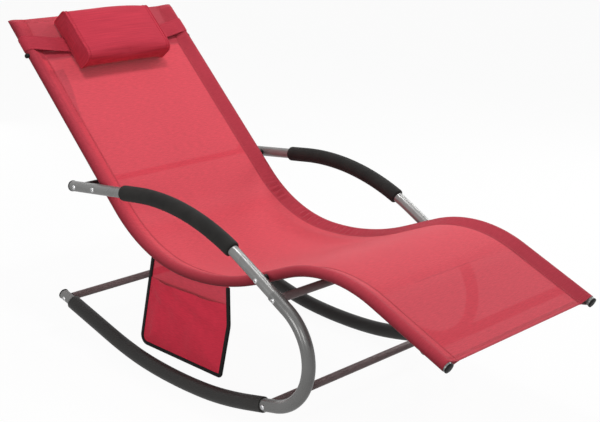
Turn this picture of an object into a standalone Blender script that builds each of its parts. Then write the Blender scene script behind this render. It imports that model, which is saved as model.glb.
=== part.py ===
"""Outdoor rocking lounger: a fabric sling on two bent rails, carried by two steel-tube rocker frames.

Metres, +Z up. +X points to the feet, +Y to the sitter's left. The origin is on the floor,
under the middle of the chair. Every tube is laid out as a centreline in the XZ plane.
"""

from math import atan2, ceil, cos, hypot, pi, radians, sin

import bmesh
import bpy
from mathutils import Vector

# Fits that every piece shares
CLEARANCE = 0.0003
TUBE_SIDES = 12
ROUND_SIDES = 12
SMOOTH_ANGLE = radians(40)

# Side rails, the S-shaped tubes inside the sling's sleeves
RAIL_SPACING = 0.507
RAIL_RADIUS = 0.011
RAIL_WALL = 0.0012
SEAT_LOW_X = -0.0440
SEAT_LOW_Z = 0.276
BACK_ANGLE = radians(42.8)
BACK_LENGTH = 0.592
SEAT_RADIUS = 0.363
THIGH_RADIUS = 0.601
THIGH_ANGLE = radians(24.1)
THIGH_LENGTH = 0.0975
KNEE_RADIUS = 0.3155
FOOT_ANGLE = radians(21.7)
FOOT_LENGTH = 0.207
SEAT_BENDS = 6
THIGH_BENDS = 3
KNEE_BENDS = 6

# Rocker frames, seen from the side: rocker, front bend and arm in one plane
ROCKER_LOW_X = -0.0358
ROCKER_RADIUS = 1.024
ROCKER_STEP = radians(2.8)
ROCKER_STEPS_FRONT = 4
ROCKER_STEPS_REAR = 4
ROCKER_FRONT_LENGTH = 0.0865
ROCKER_REAR_LENGTH = 0.219
BEND_RADIUS = 0.1265
BEND_STEPS = 12
DROP_ANGLE = radians(27.7)
DROP_LENGTH = 0.158
ARM_BEND_RADIUS = 0.600
ARM_BEND_STEPS = 8
ARM_ANGLE = radians(7.9)
ARM_TAIL_LENGTH = 0.270

# Tubes of the rocker frames
SLIM_RADIUS = 0.0125
SLIM_WALL = 0.0012
BEND_TUBE_WALL = 0.0014
SOCKET_OVERLAP = 0.022
KNEE_BOLT_FROM_BEND = 0.033
BEND_COLLAR_TOP = 0.014
ROCKER_BOLT_FROM_BEND = 0.026
BEND_COLLAR_FOOT = 0.010

# Foam arm grips and rubber rocker sleeves
GRIP_RADIUS = 0.018
GRIP_FROM_TAIL = 0.204
GRIP_LENGTH = 0.400
SLEEVE_RADIUS = 0.017
SLEEVE_FROM_REAR = 0.041

# Crossbars and their places
BAR_RADIUS = 0.0095
BAR_WALL = 0.0010
BAR_END_WALL = 0.014
BACK_BAR_RADIUS = 0.006
BACK_BAR_FROM_TAIL = 0.032
REAR_BAR_FROM_END = 0.026
HEAD_BAR_FROM_END = 0.115
FOOT_BAR_FROM_END = 0.068
FOOT_BAR_SPIGOT = 0.006

# Bolts
BOLT_RADIUS = 0.003
BOLT_BITE = 0.011
BOLT_HEAD_RADIUS = 0.0062
BOLT_HEAD_HEIGHT = 0.0036
KNOB_RADIUS = 0.0066
KNOB_HEIGHT = 0.011

# Spacers between the arms and the rails
SPACER_RADIUS = 0.009
SPACER_THICKNESS = 0.0084

# End caps
CAP_RIM = 0.0030
CAP_PLUG_LENGTH = 0.012

# Sling
FABRIC = 0.0012
SLING_FROM_HEAD = 0.008
SLING_FROM_FOOT = 0.014
SLING_SAG = 0.012
SEAM_FROM_RAIL = 0.028
SEAM_LAP = 0.008
SLING_STATION = 0.15

# Head pillow and its strap
PILLOW_LENGTH = 0.270
PILLOW_HEIGHT = 0.152
PILLOW_DEPTH = 0.046
PILLOW_CROWN = 0.009
PILLOW_DRAW_IN = 0.005
PILLOW_EDGE = 0.014
PILLOW_CUTS = 8
PILLOW_FROM_HEAD = 0.033
PILLOW_SHIFT = -0.006
STRAP_WIDTH = 0.046
STRAP_THICKNESS = 0.0015
STRAP_FROM_HEAD = 0.055
STRAP_GAP = 0.0005

# Side pocket
POCKET_REAR_TOP = -0.162
POCKET_FRONT_TOP = 0.0985
POCKET_REAR_LOW = -0.2145
POCKET_FRONT_LOW = 0.0757
POCKET_FRONT_SWELL = 0.1205
POCKET_SWELL_Z = 0.215
POCKET_BOTTOM_REAR_Z = 0.047
POCKET_BOTTOM_FRONT_Z = 0.0525
POCKET_REAR_CORNER = 0.034
POCKET_FRONT_CORNER = 0.012
POCKET_SWELL_CORNER = 0.060
POCKET_CORNER_STEPS = 4
POCKET_FABRIC = 0.0012
POCKET_BULGE = 0.013
POCKET_BULGE_REACH = 0.090
POCKET_MOUTH_REAR_Z = 0.2295
POCKET_MOUTH_FRONT_Z = 0.2385
POCKET_CELL = 0.035
POCKET_GAP = 0.0009
BINDING_LIP = 0.0065
BINDING_WEB = 0.0020
BINDING_WALL = 0.0012
BINDING_SHORT = 0.006


def flat(radius):
    """Distance from a tube's centreline to the middle of its flats."""
    return radius * cos(pi / TUBE_SIDES)


# Sizes that follow from the ones above
RAIL_Y = RAIL_SPACING / 2
BEND_TUBE_RADIUS = SLIM_RADIUS + CLEARANCE + BEND_TUBE_WALL
SPACER_GAP = SPACER_THICKNESS + 2 * CLEARANCE
FRAME_Y = RAIL_Y + flat(RAIL_RADIUS) + SPACER_GAP + flat(SLIM_RADIUS)
FABRIC_INSIDE = RAIL_RADIUS + CLEARANCE
FABRIC_OUTSIDE = FABRIC_INSIDE + FABRIC
BOLT_HOLE = BOLT_RADIUS + CLEARANCE
BEND_TURN = pi - DROP_ANGLE - (ROCKER_STEPS_FRONT + 1) * ROCKER_STEP
ARM_TURN = DROP_ANGLE + ARM_ANGLE
SIDES = {"left": 1, "right": -1}


def clear_scene():
    for old in list(bpy.data.objects):
        bpy.data.objects.remove(old, do_unlink=True)


# Centrelines in the XZ plane


def bent_line(start, heading, moves):
    """Points of a bent tube: a move is (length,) or (radius, turn, steps), left turns positive."""
    x, z = start
    points = [(x, z)]
    for move in moves:
        if len(move) == 1:
            x += move[0] * cos(heading)
            z += move[0] * sin(heading)
            points.append((x, z))
            continue
        radius, turn, steps = move
        step = turn / steps
        chord = 2 * radius * sin(abs(step) / 2)
        for _ in range(steps):
            heading += step / 2
            x += chord * cos(heading)
            z += chord * sin(heading)
            heading += step / 2
            points.append((x, z))
    return points


def bend_run(radius, turn, steps):
    """Length of a bend along its chords."""
    return 2 * steps * radius * sin(abs(turn) / (2 * steps))


def distances(line):
    """Distance along the line at each of its points."""
    runs = [0.0]
    for a, b in zip(line, line[1:]):
        runs.append(runs[-1] + hypot(b[0] - a[0], b[1] - a[1]))
    return runs


def place_on(line, distance):
    """Point and heading at a distance along the line."""
    runs = distances(line)
    for k in range(len(line) - 1):
        if distance <= runs[k + 1] or k == len(line) - 2:
            a, b = line[k], line[k + 1]
            t = (distance - runs[k]) / (runs[k + 1] - runs[k])
            point = (a[0] + t * (b[0] - a[0]), a[1] + t * (b[1] - a[1]))
            return point, atan2(b[1] - a[1], b[0] - a[0])


def part_of(line, start, end):
    """The stretch of a line between two distances."""
    runs = distances(line)
    inner = [p for p, run in zip(line, runs) if start + CLEARANCE < run < end - CLEARANCE]
    return [place_on(line, start)[0]] + inner + [place_on(line, end)[0]]


def split_long(line, longest):
    """The same line with extra points on its long straights."""
    points = [line[0]]
    for a, b in zip(line, line[1:]):
        pieces = ceil(hypot(b[0] - a[0], b[1] - a[1]) / longest)
        for k in range(1, pieces + 1):
            t = k / pieces
            points.append((a[0] + t * (b[0] - a[0]), a[1] + t * (b[1] - a[1])))
    return points


def crossing(line_a, line_b):
    """Point where two lines cross in the XZ plane."""
    for a, b in zip(line_a, line_a[1:]):
        for c, d in zip(line_b, line_b[1:]):
            ab = (b[0] - a[0], b[1] - a[1])
            cd = (d[0] - c[0], d[1] - c[1])
            det = ab[0] * cd[1] - ab[1] * cd[0]
            if abs(det) < 1e-12:
                continue
            t = ((c[0] - a[0]) * cd[1] - (c[1] - a[1]) * cd[0]) / det
            u = ((c[0] - a[0]) * ab[1] - (c[1] - a[1]) * ab[0]) / det
            if 0 <= t <= 1 and 0 <= u <= 1:
                return (a[0] + t * ab[0], a[1] + t * ab[1])


def rounded(corners, radii, steps):
    """A line through corners, each inner corner rounded to its radius."""
    points = [corners[0]]
    for before, corner, after, radius in zip(corners, corners[1:], corners[2:], radii):
        to_before = (Vector(before) - Vector(corner)).normalized()
        to_after = (Vector(after) - Vector(corner)).normalized()
        half = to_before.angle(to_after) / 2
        setback = radius * cos(half) / sin(half)
        centre = Vector(corner) + (to_before + to_after).normalized() * radius / sin(half)
        start = Vector(corner) + to_before * setback - centre
        end = Vector(corner) + to_after * setback - centre
        for k in range(steps + 1):
            spoke = start.lerp(end, k / steps).normalized() * radius
            points.append(tuple(centre + spoke))
    return points + [corners[-1]]


def rail_line():
    """Rail centreline from the head end to the foot end."""
    low = (SEAT_LOW_X, SEAT_LOW_Z)
    back = bent_line(low, pi, [(SEAT_RADIUS, -BACK_ANGLE, SEAT_BENDS), (BACK_LENGTH,)])
    front = bent_line(low, 0.0, [
        (THIGH_RADIUS, THIGH_ANGLE, THIGH_BENDS),
        (THIGH_LENGTH,),
        (KNEE_RADIUS, -THIGH_ANGLE - FOOT_ANGLE, KNEE_BENDS),
        (FOOT_LENGTH,),
    ])
    return back[::-1] + front[1:]


def frame_line():
    """Rocker frame centreline from the arm's tail, round the front bend, to the rocker's rear end.

    The middle of the rocker is a level straight two steps long, so the chair stands still on it.
    """
    reach = ROCKER_RADIUS * sin(ROCKER_STEP)
    height = flat(SLEEVE_RADIUS)
    front = bent_line((ROCKER_LOW_X + reach, height), ROCKER_STEP, [
        (ROCKER_RADIUS, ROCKER_STEPS_FRONT * ROCKER_STEP, ROCKER_STEPS_FRONT),
        (ROCKER_FRONT_LENGTH,),
        (BEND_RADIUS, BEND_TURN, BEND_STEPS),
        (DROP_LENGTH,),
        (ARM_BEND_RADIUS, ARM_TURN, ARM_BEND_STEPS),
        (ARM_TAIL_LENGTH,),
    ])
    rear = bent_line((ROCKER_LOW_X - reach, height), pi - ROCKER_STEP, [
        (ROCKER_RADIUS, -ROCKER_STEPS_REAR * ROCKER_STEP, ROCKER_STEPS_REAR),
        (ROCKER_REAR_LENGTH,),
    ])
    return front[::-1] + rear


# Solids


def finish(name, colour, roughness, metallic=0.0):
    material = bpy.data.materials.new(name)
    material.use_nodes = True
    shader = material.node_tree.nodes["Principled BSDF"]
    shader.inputs["Base Color"].default_value = (*colour, 1.0)
    shader.inputs["Roughness"].default_value = roughness
    shader.inputs["Metallic"].default_value = metallic
    return material


def solid(name, bm, material, carrier):
    """Turn a bmesh in world coordinates into a named object that hangs on its carrier empty."""
    bmesh.ops.recalc_face_normals(bm, faces=bm.faces)
    bmesh.ops.translate(bm, vec=-carrier.location, verts=bm.verts)
    mesh = bpy.data.meshes.new(name)
    bm.to_mesh(mesh)
    bm.free()
    mesh.materials.append(material)
    mesh.shade_smooth()
    mesh.set_sharp_from_angle(angle=SMOOTH_ANGLE)
    piece = bpy.data.objects.new(name, mesh)
    bpy.context.collection.objects.link(piece)
    piece.parent = carrier
    return piece


def carrier_at(name, place):
    empty = bpy.data.objects.new(name, None)
    bpy.context.collection.objects.link(empty)
    empty.location = place
    return empty


def stations(line, y, side):
    """A section frame at each point: place, outward axis and mitred normal on the left of the line."""
    frames = []
    for k, (x, z) in enumerate(line):
        headings = []
        if k > 0:
            headings.append(Vector((x - line[k - 1][0], 0, z - line[k - 1][1])).normalized())
        if k < len(line) - 1:
            headings.append(Vector((line[k + 1][0] - x, 0, line[k + 1][1] - z)).normalized())
        heading = sum(headings, Vector()).normalized()
        normal = Vector((-heading.z, 0, heading.x)) / heading.dot(headings[0])
        frames.append((Vector((x, side * y, z)), Vector((0, side, 0)), normal))
    return frames


def ring(radius):
    """A tube's section, with flats facing out, in, up and down."""
    turns = [2 * pi * (k + 0.5) / TUBE_SIDES for k in range(TUBE_SIDES)]
    return [(radius * cos(a), radius * sin(a)) for a in turns]


def skin(bm, frames, sections):
    """Rings of vertices through all stations, joined by quads."""
    rings = []
    for (place, out, normal), section in zip(frames, sections):
        rings.append([bm.verts.new(place + w * out + n * normal) for w, n in section])
    for a, b in zip(rings, rings[1:]):
        for k in range(len(a)):
            m = (k + 1) % len(a)
            bm.faces.new((a[k], a[m], b[m], b[k]))
    return rings


def tube(name, line, y, side, radius, inside, material, carrier):
    """A hollow tube along a line."""
    bm = bmesh.new()
    frames = stations(line, y, side)
    outer = skin(bm, frames, [ring(radius)] * len(frames))
    inner = skin(bm, frames, [ring(inside)] * len(frames))
    for end in (0, -1):
        for k in range(TUBE_SIDES):
            m = (k + 1) % TUBE_SIDES
            bm.faces.new((outer[end][k], outer[end][m], inner[end][m], inner[end][k]))
    return solid(name, bm, material, carrier)


def ribbon(name, frames, sections, material, carrier, closed=False):
    """A strip of cloth: each section lists one side of the strip, then the other side backwards."""
    bm = bmesh.new()
    if closed:
        frames = frames + frames[:1]
        sections = sections + sections[:1]
    rings = skin(bm, frames, sections)
    if closed:
        bmesh.ops.remove_doubles(bm, verts=bm.verts, dist=CLEARANCE / 10)
        return solid(name, bm, material, carrier)
    count = len(sections[0])
    for end in (rings[0], rings[-1]):
        for k in range(count // 2 - 1):
            bm.faces.new((end[k], end[k + 1], end[count - 2 - k], end[count - 1 - k]))
    return solid(name, bm, material, carrier)


def turned(name, profile, place, axis, material, carrier):
    """A turned piece: profile points (radius, distance along the axis), open ends on the axis."""
    bm = bmesh.new()
    axis = Vector(axis).normalized()
    spoke = axis.orthogonal().normalized()
    corners = [bm.verts.new(Vector(place) + axis * along + spoke * radius) for radius, along in profile]
    edges = [bm.edges.new(pair) for pair in zip(corners, corners[1:])]
    if profile[0][0] > 0:
        edges.append(bm.edges.new((corners[-1], corners[0])))
    bmesh.ops.spin(bm, geom=corners + edges, cent=place, axis=axis, angle=2 * pi, steps=ROUND_SIDES,
                   use_merge=True)
    bmesh.ops.remove_doubles(bm, verts=bm.verts, dist=CLEARANCE / 10)
    return solid(name, bm, material, carrier)


def drill(piece, holes):
    """Cut round holes along Y: each is (point, radius, from y, to y)."""
    bm = bmesh.new()
    for (x, z), radius, low, high in holes:
        rims = []
        for y in (low, high):
            turns = [2 * pi * k / ROUND_SIDES for k in range(ROUND_SIDES)]
            rims.append([bm.verts.new((x + radius * cos(a), y, z + radius * sin(a))) for a in turns])
        for k in range(ROUND_SIDES):
            m = (k + 1) % ROUND_SIDES
            bm.faces.new((rims[0][k], rims[0][m], rims[1][m], rims[1][k]))
        bm.faces.new(rims[0][::-1])
        bm.faces.new(rims[1])
    bmesh.ops.recalc_face_normals(bm, faces=bm.faces)
    mesh = bpy.data.meshes.new(piece.name + "_holes")
    bm.to_mesh(mesh)
    bm.free()
    cutter = bpy.data.objects.new(mesh.name, mesh)
    bpy.context.collection.objects.link(cutter)
    cutter.hide_render = True
    cutter.display_type = "WIRE"
    cut = piece.modifiers.new("holes", "BOOLEAN")
    cut.operation = "DIFFERENCE"
    cut.solver = "EXACT"
    cut.object = cutter


def bolt(name, point, head_y, side, length, material, carrier, knob=False):
    """A bolt along Y: its head seats at head_y, its shank points to the middle of the chair."""
    radius = KNOB_RADIUS if knob else BOLT_HEAD_RADIUS
    height = KNOB_HEIGHT if knob else BOLT_HEAD_HEIGHT
    profile = [
        (0.0, height),
        (0.62 * radius, 0.9 * height),
        (radius, 0.5 * height),
        (radius, 0.0),
        (BOLT_RADIUS, 0.0),
        (BOLT_RADIUS, -length),
        (0.0, -length),
    ]
    place = (point[0], side * (head_y + CLEARANCE), point[1])
    return turned(name, profile, place, (0, side, 0), material, carrier)


def cap(name, line, y, side, radius, inside, material, carrier):
    """A domed plug in the first end of a line's tube."""
    (x, z), heading = place_on(line, 0.0)
    rim = CAP_RIM
    plug = flat(inside) - CLEARANCE
    profile = [
        (0.0, rim),
        (0.6 * radius, 0.85 * rim),
        (flat(radius), 0.35 * rim),
        (flat(radius), CLEARANCE),
        (plug, CLEARANCE),
        (plug, -CAP_PLUG_LENGTH),
        (0.0, -CAP_PLUG_LENGTH),
    ]
    outward = (-cos(heading), 0, -sin(heading))
    return turned(name, profile, (x, side * y, z), outward, material, carrier)


def crossbar(name, point, seat_y, material, carrier, radius=BAR_RADIUS, spigot=0.0):
    """A tube across the chair with tapped end walls, seated between y = -seat_y and seat_y."""
    half = seat_y - CLEARANCE
    inside = radius - BAR_WALL
    neck = radius - 2 * BAR_WALL
    right = [(radius, half)]
    if spigot:
        right += [(neck, half), (neck, half + spigot), (BOLT_HOLE, half + spigot)]
    else:
        right += [(BOLT_HOLE, half)]
    right += [(BOLT_HOLE, half - BAR_END_WALL), (inside, half - BAR_END_WALL)]
    left = [(radius, -along) for radius, along in right[::-1]]
    return turned(name, right + left, (point[0], 0.0, point[1]), (0, 1, 0), material, carrier)


# The chair


def sling_section(sag):
    """The sling across the chair, from one lapped seam round both rails to the other."""
    level = flat((FABRIC_INSIDE + FABRIC_OUTSIDE) / 2)
    seam = RAIL_Y - SEAM_FROM_RAIL
    inner = RAIL_Y - RAIL_RADIUS

    def sheet(y):
        return level - sag * (1 - (y / inner) ** 2)

    under = FABRIC + CLEARANCE
    half_cloth = FABRIC * cos(pi / TUBE_SIDES) / 2
    upper, lower = [], []
    for y in (0.0, 0.38 * RAIL_Y, seam - SEAM_LAP):
        upper.append((y, sheet(y) + half_cloth))
        lower.append((y, sheet(y) - half_cloth))
    for k in range(TUBE_SIDES - 3):
        turn = pi / 2 - (2 * k - 1) * pi / TUBE_SIDES
        upper.append((RAIL_Y + FABRIC_OUTSIDE * cos(turn), FABRIC_OUTSIDE * sin(turn)))
        lower.append((RAIL_Y + FABRIC_INSIDE * cos(turn), FABRIC_INSIDE * sin(turn)))
    for y in (seam, seam - SEAM_LAP):
        upper.append((y, sheet(y) - under - half_cloth))
        lower.append((y, sheet(y) - under + half_cloth))
    mirror_upper = [(-y, n) for y, n in upper[:0:-1]]
    mirror_lower = [(-y, n) for y, n in lower[:0:-1]]
    return mirror_upper + upper + (mirror_lower + lower)[::-1]


def sling_sag(distance, first, last):
    """Depth of the sling's belly: none at the head and foot bars, most at the seat."""
    t = min(max((distance - first) / (last - first), 0.0), 1.0)
    return SLING_SAG * sin(pi * t) ** 2


def make_sling(rail, bolts, material, carrier):
    runs = distances(rail)
    line = split_long(part_of(rail, SLING_FROM_HEAD, runs[-1] - SLING_FROM_FOOT), SLING_STATION)
    first = HEAD_BAR_FROM_END - SLING_FROM_HEAD + BAR_RADIUS
    last = runs[-1] - FOOT_BAR_FROM_END - SLING_FROM_HEAD - BAR_RADIUS
    sections = [sling_section(sling_sag(run, first, last)) for run in distances(line)]
    sling = ribbon("sling", stations(line, 0.0, 1), sections, material, carrier)
    notch = BAR_RADIUS + FABRIC
    inside = RAIL_Y - FABRIC_INSIDE / 2
    holes = []
    for side in SIDES.values():
        for point in (bolts["head"], bolts["foot"]):
            ends = sorted((side * inside, side * (RAIL_Y - SEAM_FROM_RAIL - 2 * SEAM_LAP)))
            holes.append((point, notch, *ends))
        for point, radius in (
            (bolts["head"], KNOB_RADIUS + CLEARANCE),
            (bolts["rail_rear"], SPACER_RADIUS + CLEARANCE),
            (bolts["rail_front"], SPACER_RADIUS + CLEARANCE),
        ):
            ends = sorted((side * (RAIL_Y + FABRIC_INSIDE / 2), side * FRAME_Y))
            holes.append((point, radius, *ends))
    drill(sling, holes)
    return sling


def make_rails(rail, bolts, steel, plastic, carrier):
    inside = RAIL_RADIUS - RAIL_WALL
    neck = BAR_RADIUS - 2 * BAR_WALL + CLEARANCE
    for word, side in SIDES.items():
        tube_piece = tube("rail_" + word, rail, RAIL_Y, side, RAIL_RADIUS, inside, steel, carrier)
        centre = side * RAIL_Y
        inner = side * (RAIL_Y - 2 * RAIL_RADIUS)
        outer = side * (RAIL_Y + 2 * RAIL_RADIUS)
        holes = [(bolts["head"], BOLT_HOLE, *sorted((inner, outer)))]
        holes.append((bolts["foot"], neck, *sorted((inner, centre))))
        for key in ("rail_rear", "rail_front"):
            holes.append((bolts[key], BOLT_HOLE, *sorted((centre, outer))))
        drill(tube_piece, holes)
        cap("rail_head_cap_" + word, rail, RAIL_Y, side, RAIL_RADIUS, inside, plastic, carrier)
        cap("rail_foot_cap_" + word, rail[::-1], RAIL_Y, side, RAIL_RADIUS, inside, plastic, carrier)


def make_rocker_frames(frame, marks, bolts, steel, foam, rubber, plastic, carrier):
    slim_inside = SLIM_RADIUS - SLIM_WALL
    jacket = SLIM_RADIUS + CLEARANCE
    end = distances(frame)[-1]
    arm = part_of(frame, 0.0, marks["arm_end"])
    bend = part_of(frame, marks["bend_start"], marks["bend_end"])
    rocker = part_of(frame, marks["rocker_start"], end)
    grip = part_of(frame, GRIP_FROM_TAIL, GRIP_FROM_TAIL + GRIP_LENGTH)
    sleeve = part_of(frame, marks["bend_end"] + CLEARANCE, end - SLEEVE_FROM_REAR)
    for word, side in SIDES.items():
        reach = sorted((side * (FRAME_Y - 2 * SLIM_RADIUS), side * (FRAME_Y + 2 * SLIM_RADIUS)))

        def holes(*keys):
            return [(bolts[key], BOLT_HOLE, *reach) for key in keys]

        piece = tube("arm_tube_" + word, arm, FRAME_Y, side, SLIM_RADIUS, slim_inside, steel, carrier)
        drill(piece, holes("back", "rail_rear", "rail_front", "knee"))
        piece = tube("front_bend_" + word, bend, FRAME_Y, side, BEND_TUBE_RADIUS, jacket, steel, carrier)
        drill(piece, holes("knee", "rocker_front"))
        piece = tube("rocker_tube_" + word, rocker, FRAME_Y, side, SLIM_RADIUS, slim_inside, steel, carrier)
        drill(piece, holes("rocker_front", "rocker_rear"))
        tube("arm_grip_" + word, grip, FRAME_Y, side, GRIP_RADIUS, jacket, foam, carrier)
        tube("rocker_sleeve_" + word, sleeve, FRAME_Y, side, SLEEVE_RADIUS, jacket, rubber, carrier)
        cap("arm_cap_" + word, arm, FRAME_Y, side, SLIM_RADIUS, slim_inside, plastic, carrier)
        cap("rocker_cap_" + word, rocker[::-1], FRAME_Y, side, SLIM_RADIUS, slim_inside, plastic, carrier)
        for key in ("rail_rear", "rail_front"):
            x, z = bolts[key]
            y = side * (RAIL_Y + flat(RAIL_RADIUS) + CLEARANCE)
            profile = [
                (SPACER_RADIUS, SPACER_THICKNESS),
                (SPACER_RADIUS, 0.0),
                (BOLT_HOLE, 0.0),
                (BOLT_HOLE, SPACER_THICKNESS),
            ]
            name = "spacer_" + key.replace("rail_", "") + "_" + word
            turned(name, profile, (x, y, z), (0, side, 0), plastic, carrier)


def make_crossbars_and_bolts(bolts, steel, dark_steel, bright, black, carrier):
    slim = flat(SLIM_RADIUS)
    wide = flat(BEND_TUBE_RADIUS)
    rail = flat(RAIL_RADIUS)
    crossbar("head_bar", bolts["head"], RAIL_Y - rail, steel, carrier)
    crossbar("foot_bar", bolts["foot"], RAIL_Y - rail, steel, carrier, spigot=FOOT_BAR_SPIGOT)
    crossbar("back_bar", bolts["back"], FRAME_Y - slim, dark_steel, carrier, radius=BACK_BAR_RADIUS)
    crossbar("knee_bar", bolts["knee"], FRAME_Y - wide, steel, carrier)
    crossbar("rocker_front_bar", bolts["rocker_front"], FRAME_Y - wide, steel, carrier)
    crossbar("rocker_rear_bar", bolts["rocker_rear"], FRAME_Y - slim, steel, carrier)
    into_rail = 2 * slim + SPACER_GAP + RAIL_WALL + BOLT_RADIUS
    for word, side in SIDES.items():
        for key, half in (("back", slim), ("knee", wide), ("rocker_front", wide), ("rocker_rear", slim)):
            length = 2 * half + BOLT_BITE
            bolt("bolt_%s_%s" % (key, word), bolts[key], FRAME_Y + half, side, length, bright, carrier)
        for key in ("rail_rear", "rail_front"):
            bolt("bolt_%s_%s" % (key, word), bolts[key], FRAME_Y + slim, side, into_rail, bright, carrier)
        length = 2 * rail + BOLT_BITE
        bolt("bolt_head_" + word, bolts["head"], RAIL_Y + rail, side, length, black, carrier, knob=True)


def make_pillow(rail, cloth, carrier):
    """A boxed head pillow and the flat strap that holds it round both rails."""
    (x, z), heading = place_on(rail, 0.0)
    down = Vector((cos(heading), 0, sin(heading)))
    lift = Vector((-sin(heading), 0, cos(heading)))
    head = Vector((x, 0, z))

    inside = FABRIC_OUTSIDE + STRAP_GAP
    outside = inside + STRAP_THICKNESS
    frames, sections = [], []
    for side in (1, -1):
        for k in range(TUBE_SIDES // 2 + 1):
            turn = side * pi / 2 - (2 * k - 1 - TUBE_SIDES // 2 + TUBE_SIDES // 2) * pi / TUBE_SIDES
            frames.append((side, turn))
    bm = bmesh.new()
    rings = []
    for side, turn in frames:
        ring_points = []
        for radius in (inside, outside):
            y = side * RAIL_Y + radius * cos(turn)
            n = radius * sin(turn)
            for along in (STRAP_FROM_HEAD, STRAP_FROM_HEAD + STRAP_WIDTH):
                ring_points.append(bm.verts.new(head + down * along + lift * n + Vector((0, y, 0))))
        rings.append([ring_points[0], ring_points[1], ring_points[3], ring_points[2]])
    for a, b in zip(rings, rings[1:] + rings[:1]):
        for k in range(4):
            m = (k + 1) % 4
            bm.faces.new((a[k], a[m], b[m], b[k]))
    solid("pillow_strap", bm, cloth, carrier)

    bm = bmesh.new()
    bmesh.ops.create_cube(bm, size=2.0)
    bmesh.ops.subdivide_edges(bm, edges=bm.edges[:], cuts=PILLOW_CUTS, use_grid_fill=True)
    half = Vector((PILLOW_HEIGHT / 2, PILLOW_LENGTH / 2, PILLOW_DEPTH / 2))
    seat = flat(outside) + STRAP_GAP
    centre = head + down * (PILLOW_FROM_HEAD + half.x) + lift * (seat + half.z)
    centre.y = PILLOW_SHIFT
    for vert in bm.verts:
        u, v, w = vert.co
        core = Vector([max(min(c * h, h - PILLOW_EDGE), PILLOW_EDGE - h) for c, h in zip(vert.co, half)])
        spoke = Vector([c * h for c, h in zip(vert.co, half)]) - core
        if spoke.length > 0:
            spoke = spoke.normalized() * PILLOW_EDGE
        shape = core + spoke
        middle = (1 - u * u) * (1 - v * v)
        shape.z += PILLOW_CROWN * middle * max(w, 0.0)
        shape.x -= u * PILLOW_DRAW_IN * (1 - v * v) * abs(u)
        shape.y -= v * PILLOW_DRAW_IN * (1 - u * u) * abs(v)
        vert.co = centre + down * shape.x + Vector((0, shape.y, 0)) + lift * shape.z
    solid("pillow", bm, cloth, carrier)


def under_rail(rail, x):
    """Height just under the sling's sleeve at x, in the dip of the seat."""
    drop = flat(FABRIC_OUTSIDE) + POCKET_GAP
    heights = []
    for a, b in zip(rail, rail[1:]):
        run = hypot(b[0] - a[0], b[1] - a[1])
        slope = (b[1] - a[1]) / (b[0] - a[0])
        if a[0] < POCKET_FRONT_SWELL and b[0] > POCKET_REAR_LOW:
            heights.append(a[1] + slope * (x - a[0]) - drop * run / (b[0] - a[0]))
    return max(heights)


def pocket_outline(rail):
    """Rear edge, bottom and front edge of the pocket, from the rear top corner to the front one."""
    corners = [
        (POCKET_REAR_TOP, under_rail(rail, POCKET_REAR_TOP)),
        (POCKET_REAR_LOW, POCKET_BOTTOM_REAR_Z),
        (POCKET_FRONT_LOW, POCKET_BOTTOM_FRONT_Z),
        (POCKET_FRONT_SWELL, POCKET_SWELL_Z),
        (POCKET_FRONT_TOP, under_rail(rail, POCKET_FRONT_TOP)),
    ]
    radii = [POCKET_REAR_CORNER, POCKET_FRONT_CORNER, POCKET_SWELL_CORNER]
    return rounded(corners, radii, POCKET_CORNER_STEPS)


def off_outline(outline, x, z):
    """Distance from a point to the pocket's bound edges."""
    gaps = []
    for a, b in zip(outline, outline[1:]):
        run = Vector(b) - Vector(a)
        t = (Vector((x, z)) - Vector(a)).dot(run) / run.length_squared
        gaps.append((Vector(a) + run * min(max(t, 0.0), 1.0) - Vector((x, z))).length)
    return min(gaps)


def below(edge, height):
    """The stretch of a falling edge under a height."""
    for k, (a, b) in enumerate(zip(edge, edge[1:])):
        if a[1] >= height >= b[1]:
            t = (a[1] - height) / (a[1] - b[1])
            return [(a[0] + t * (b[0] - a[0]), height)] + edge[k + 1:]


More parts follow.
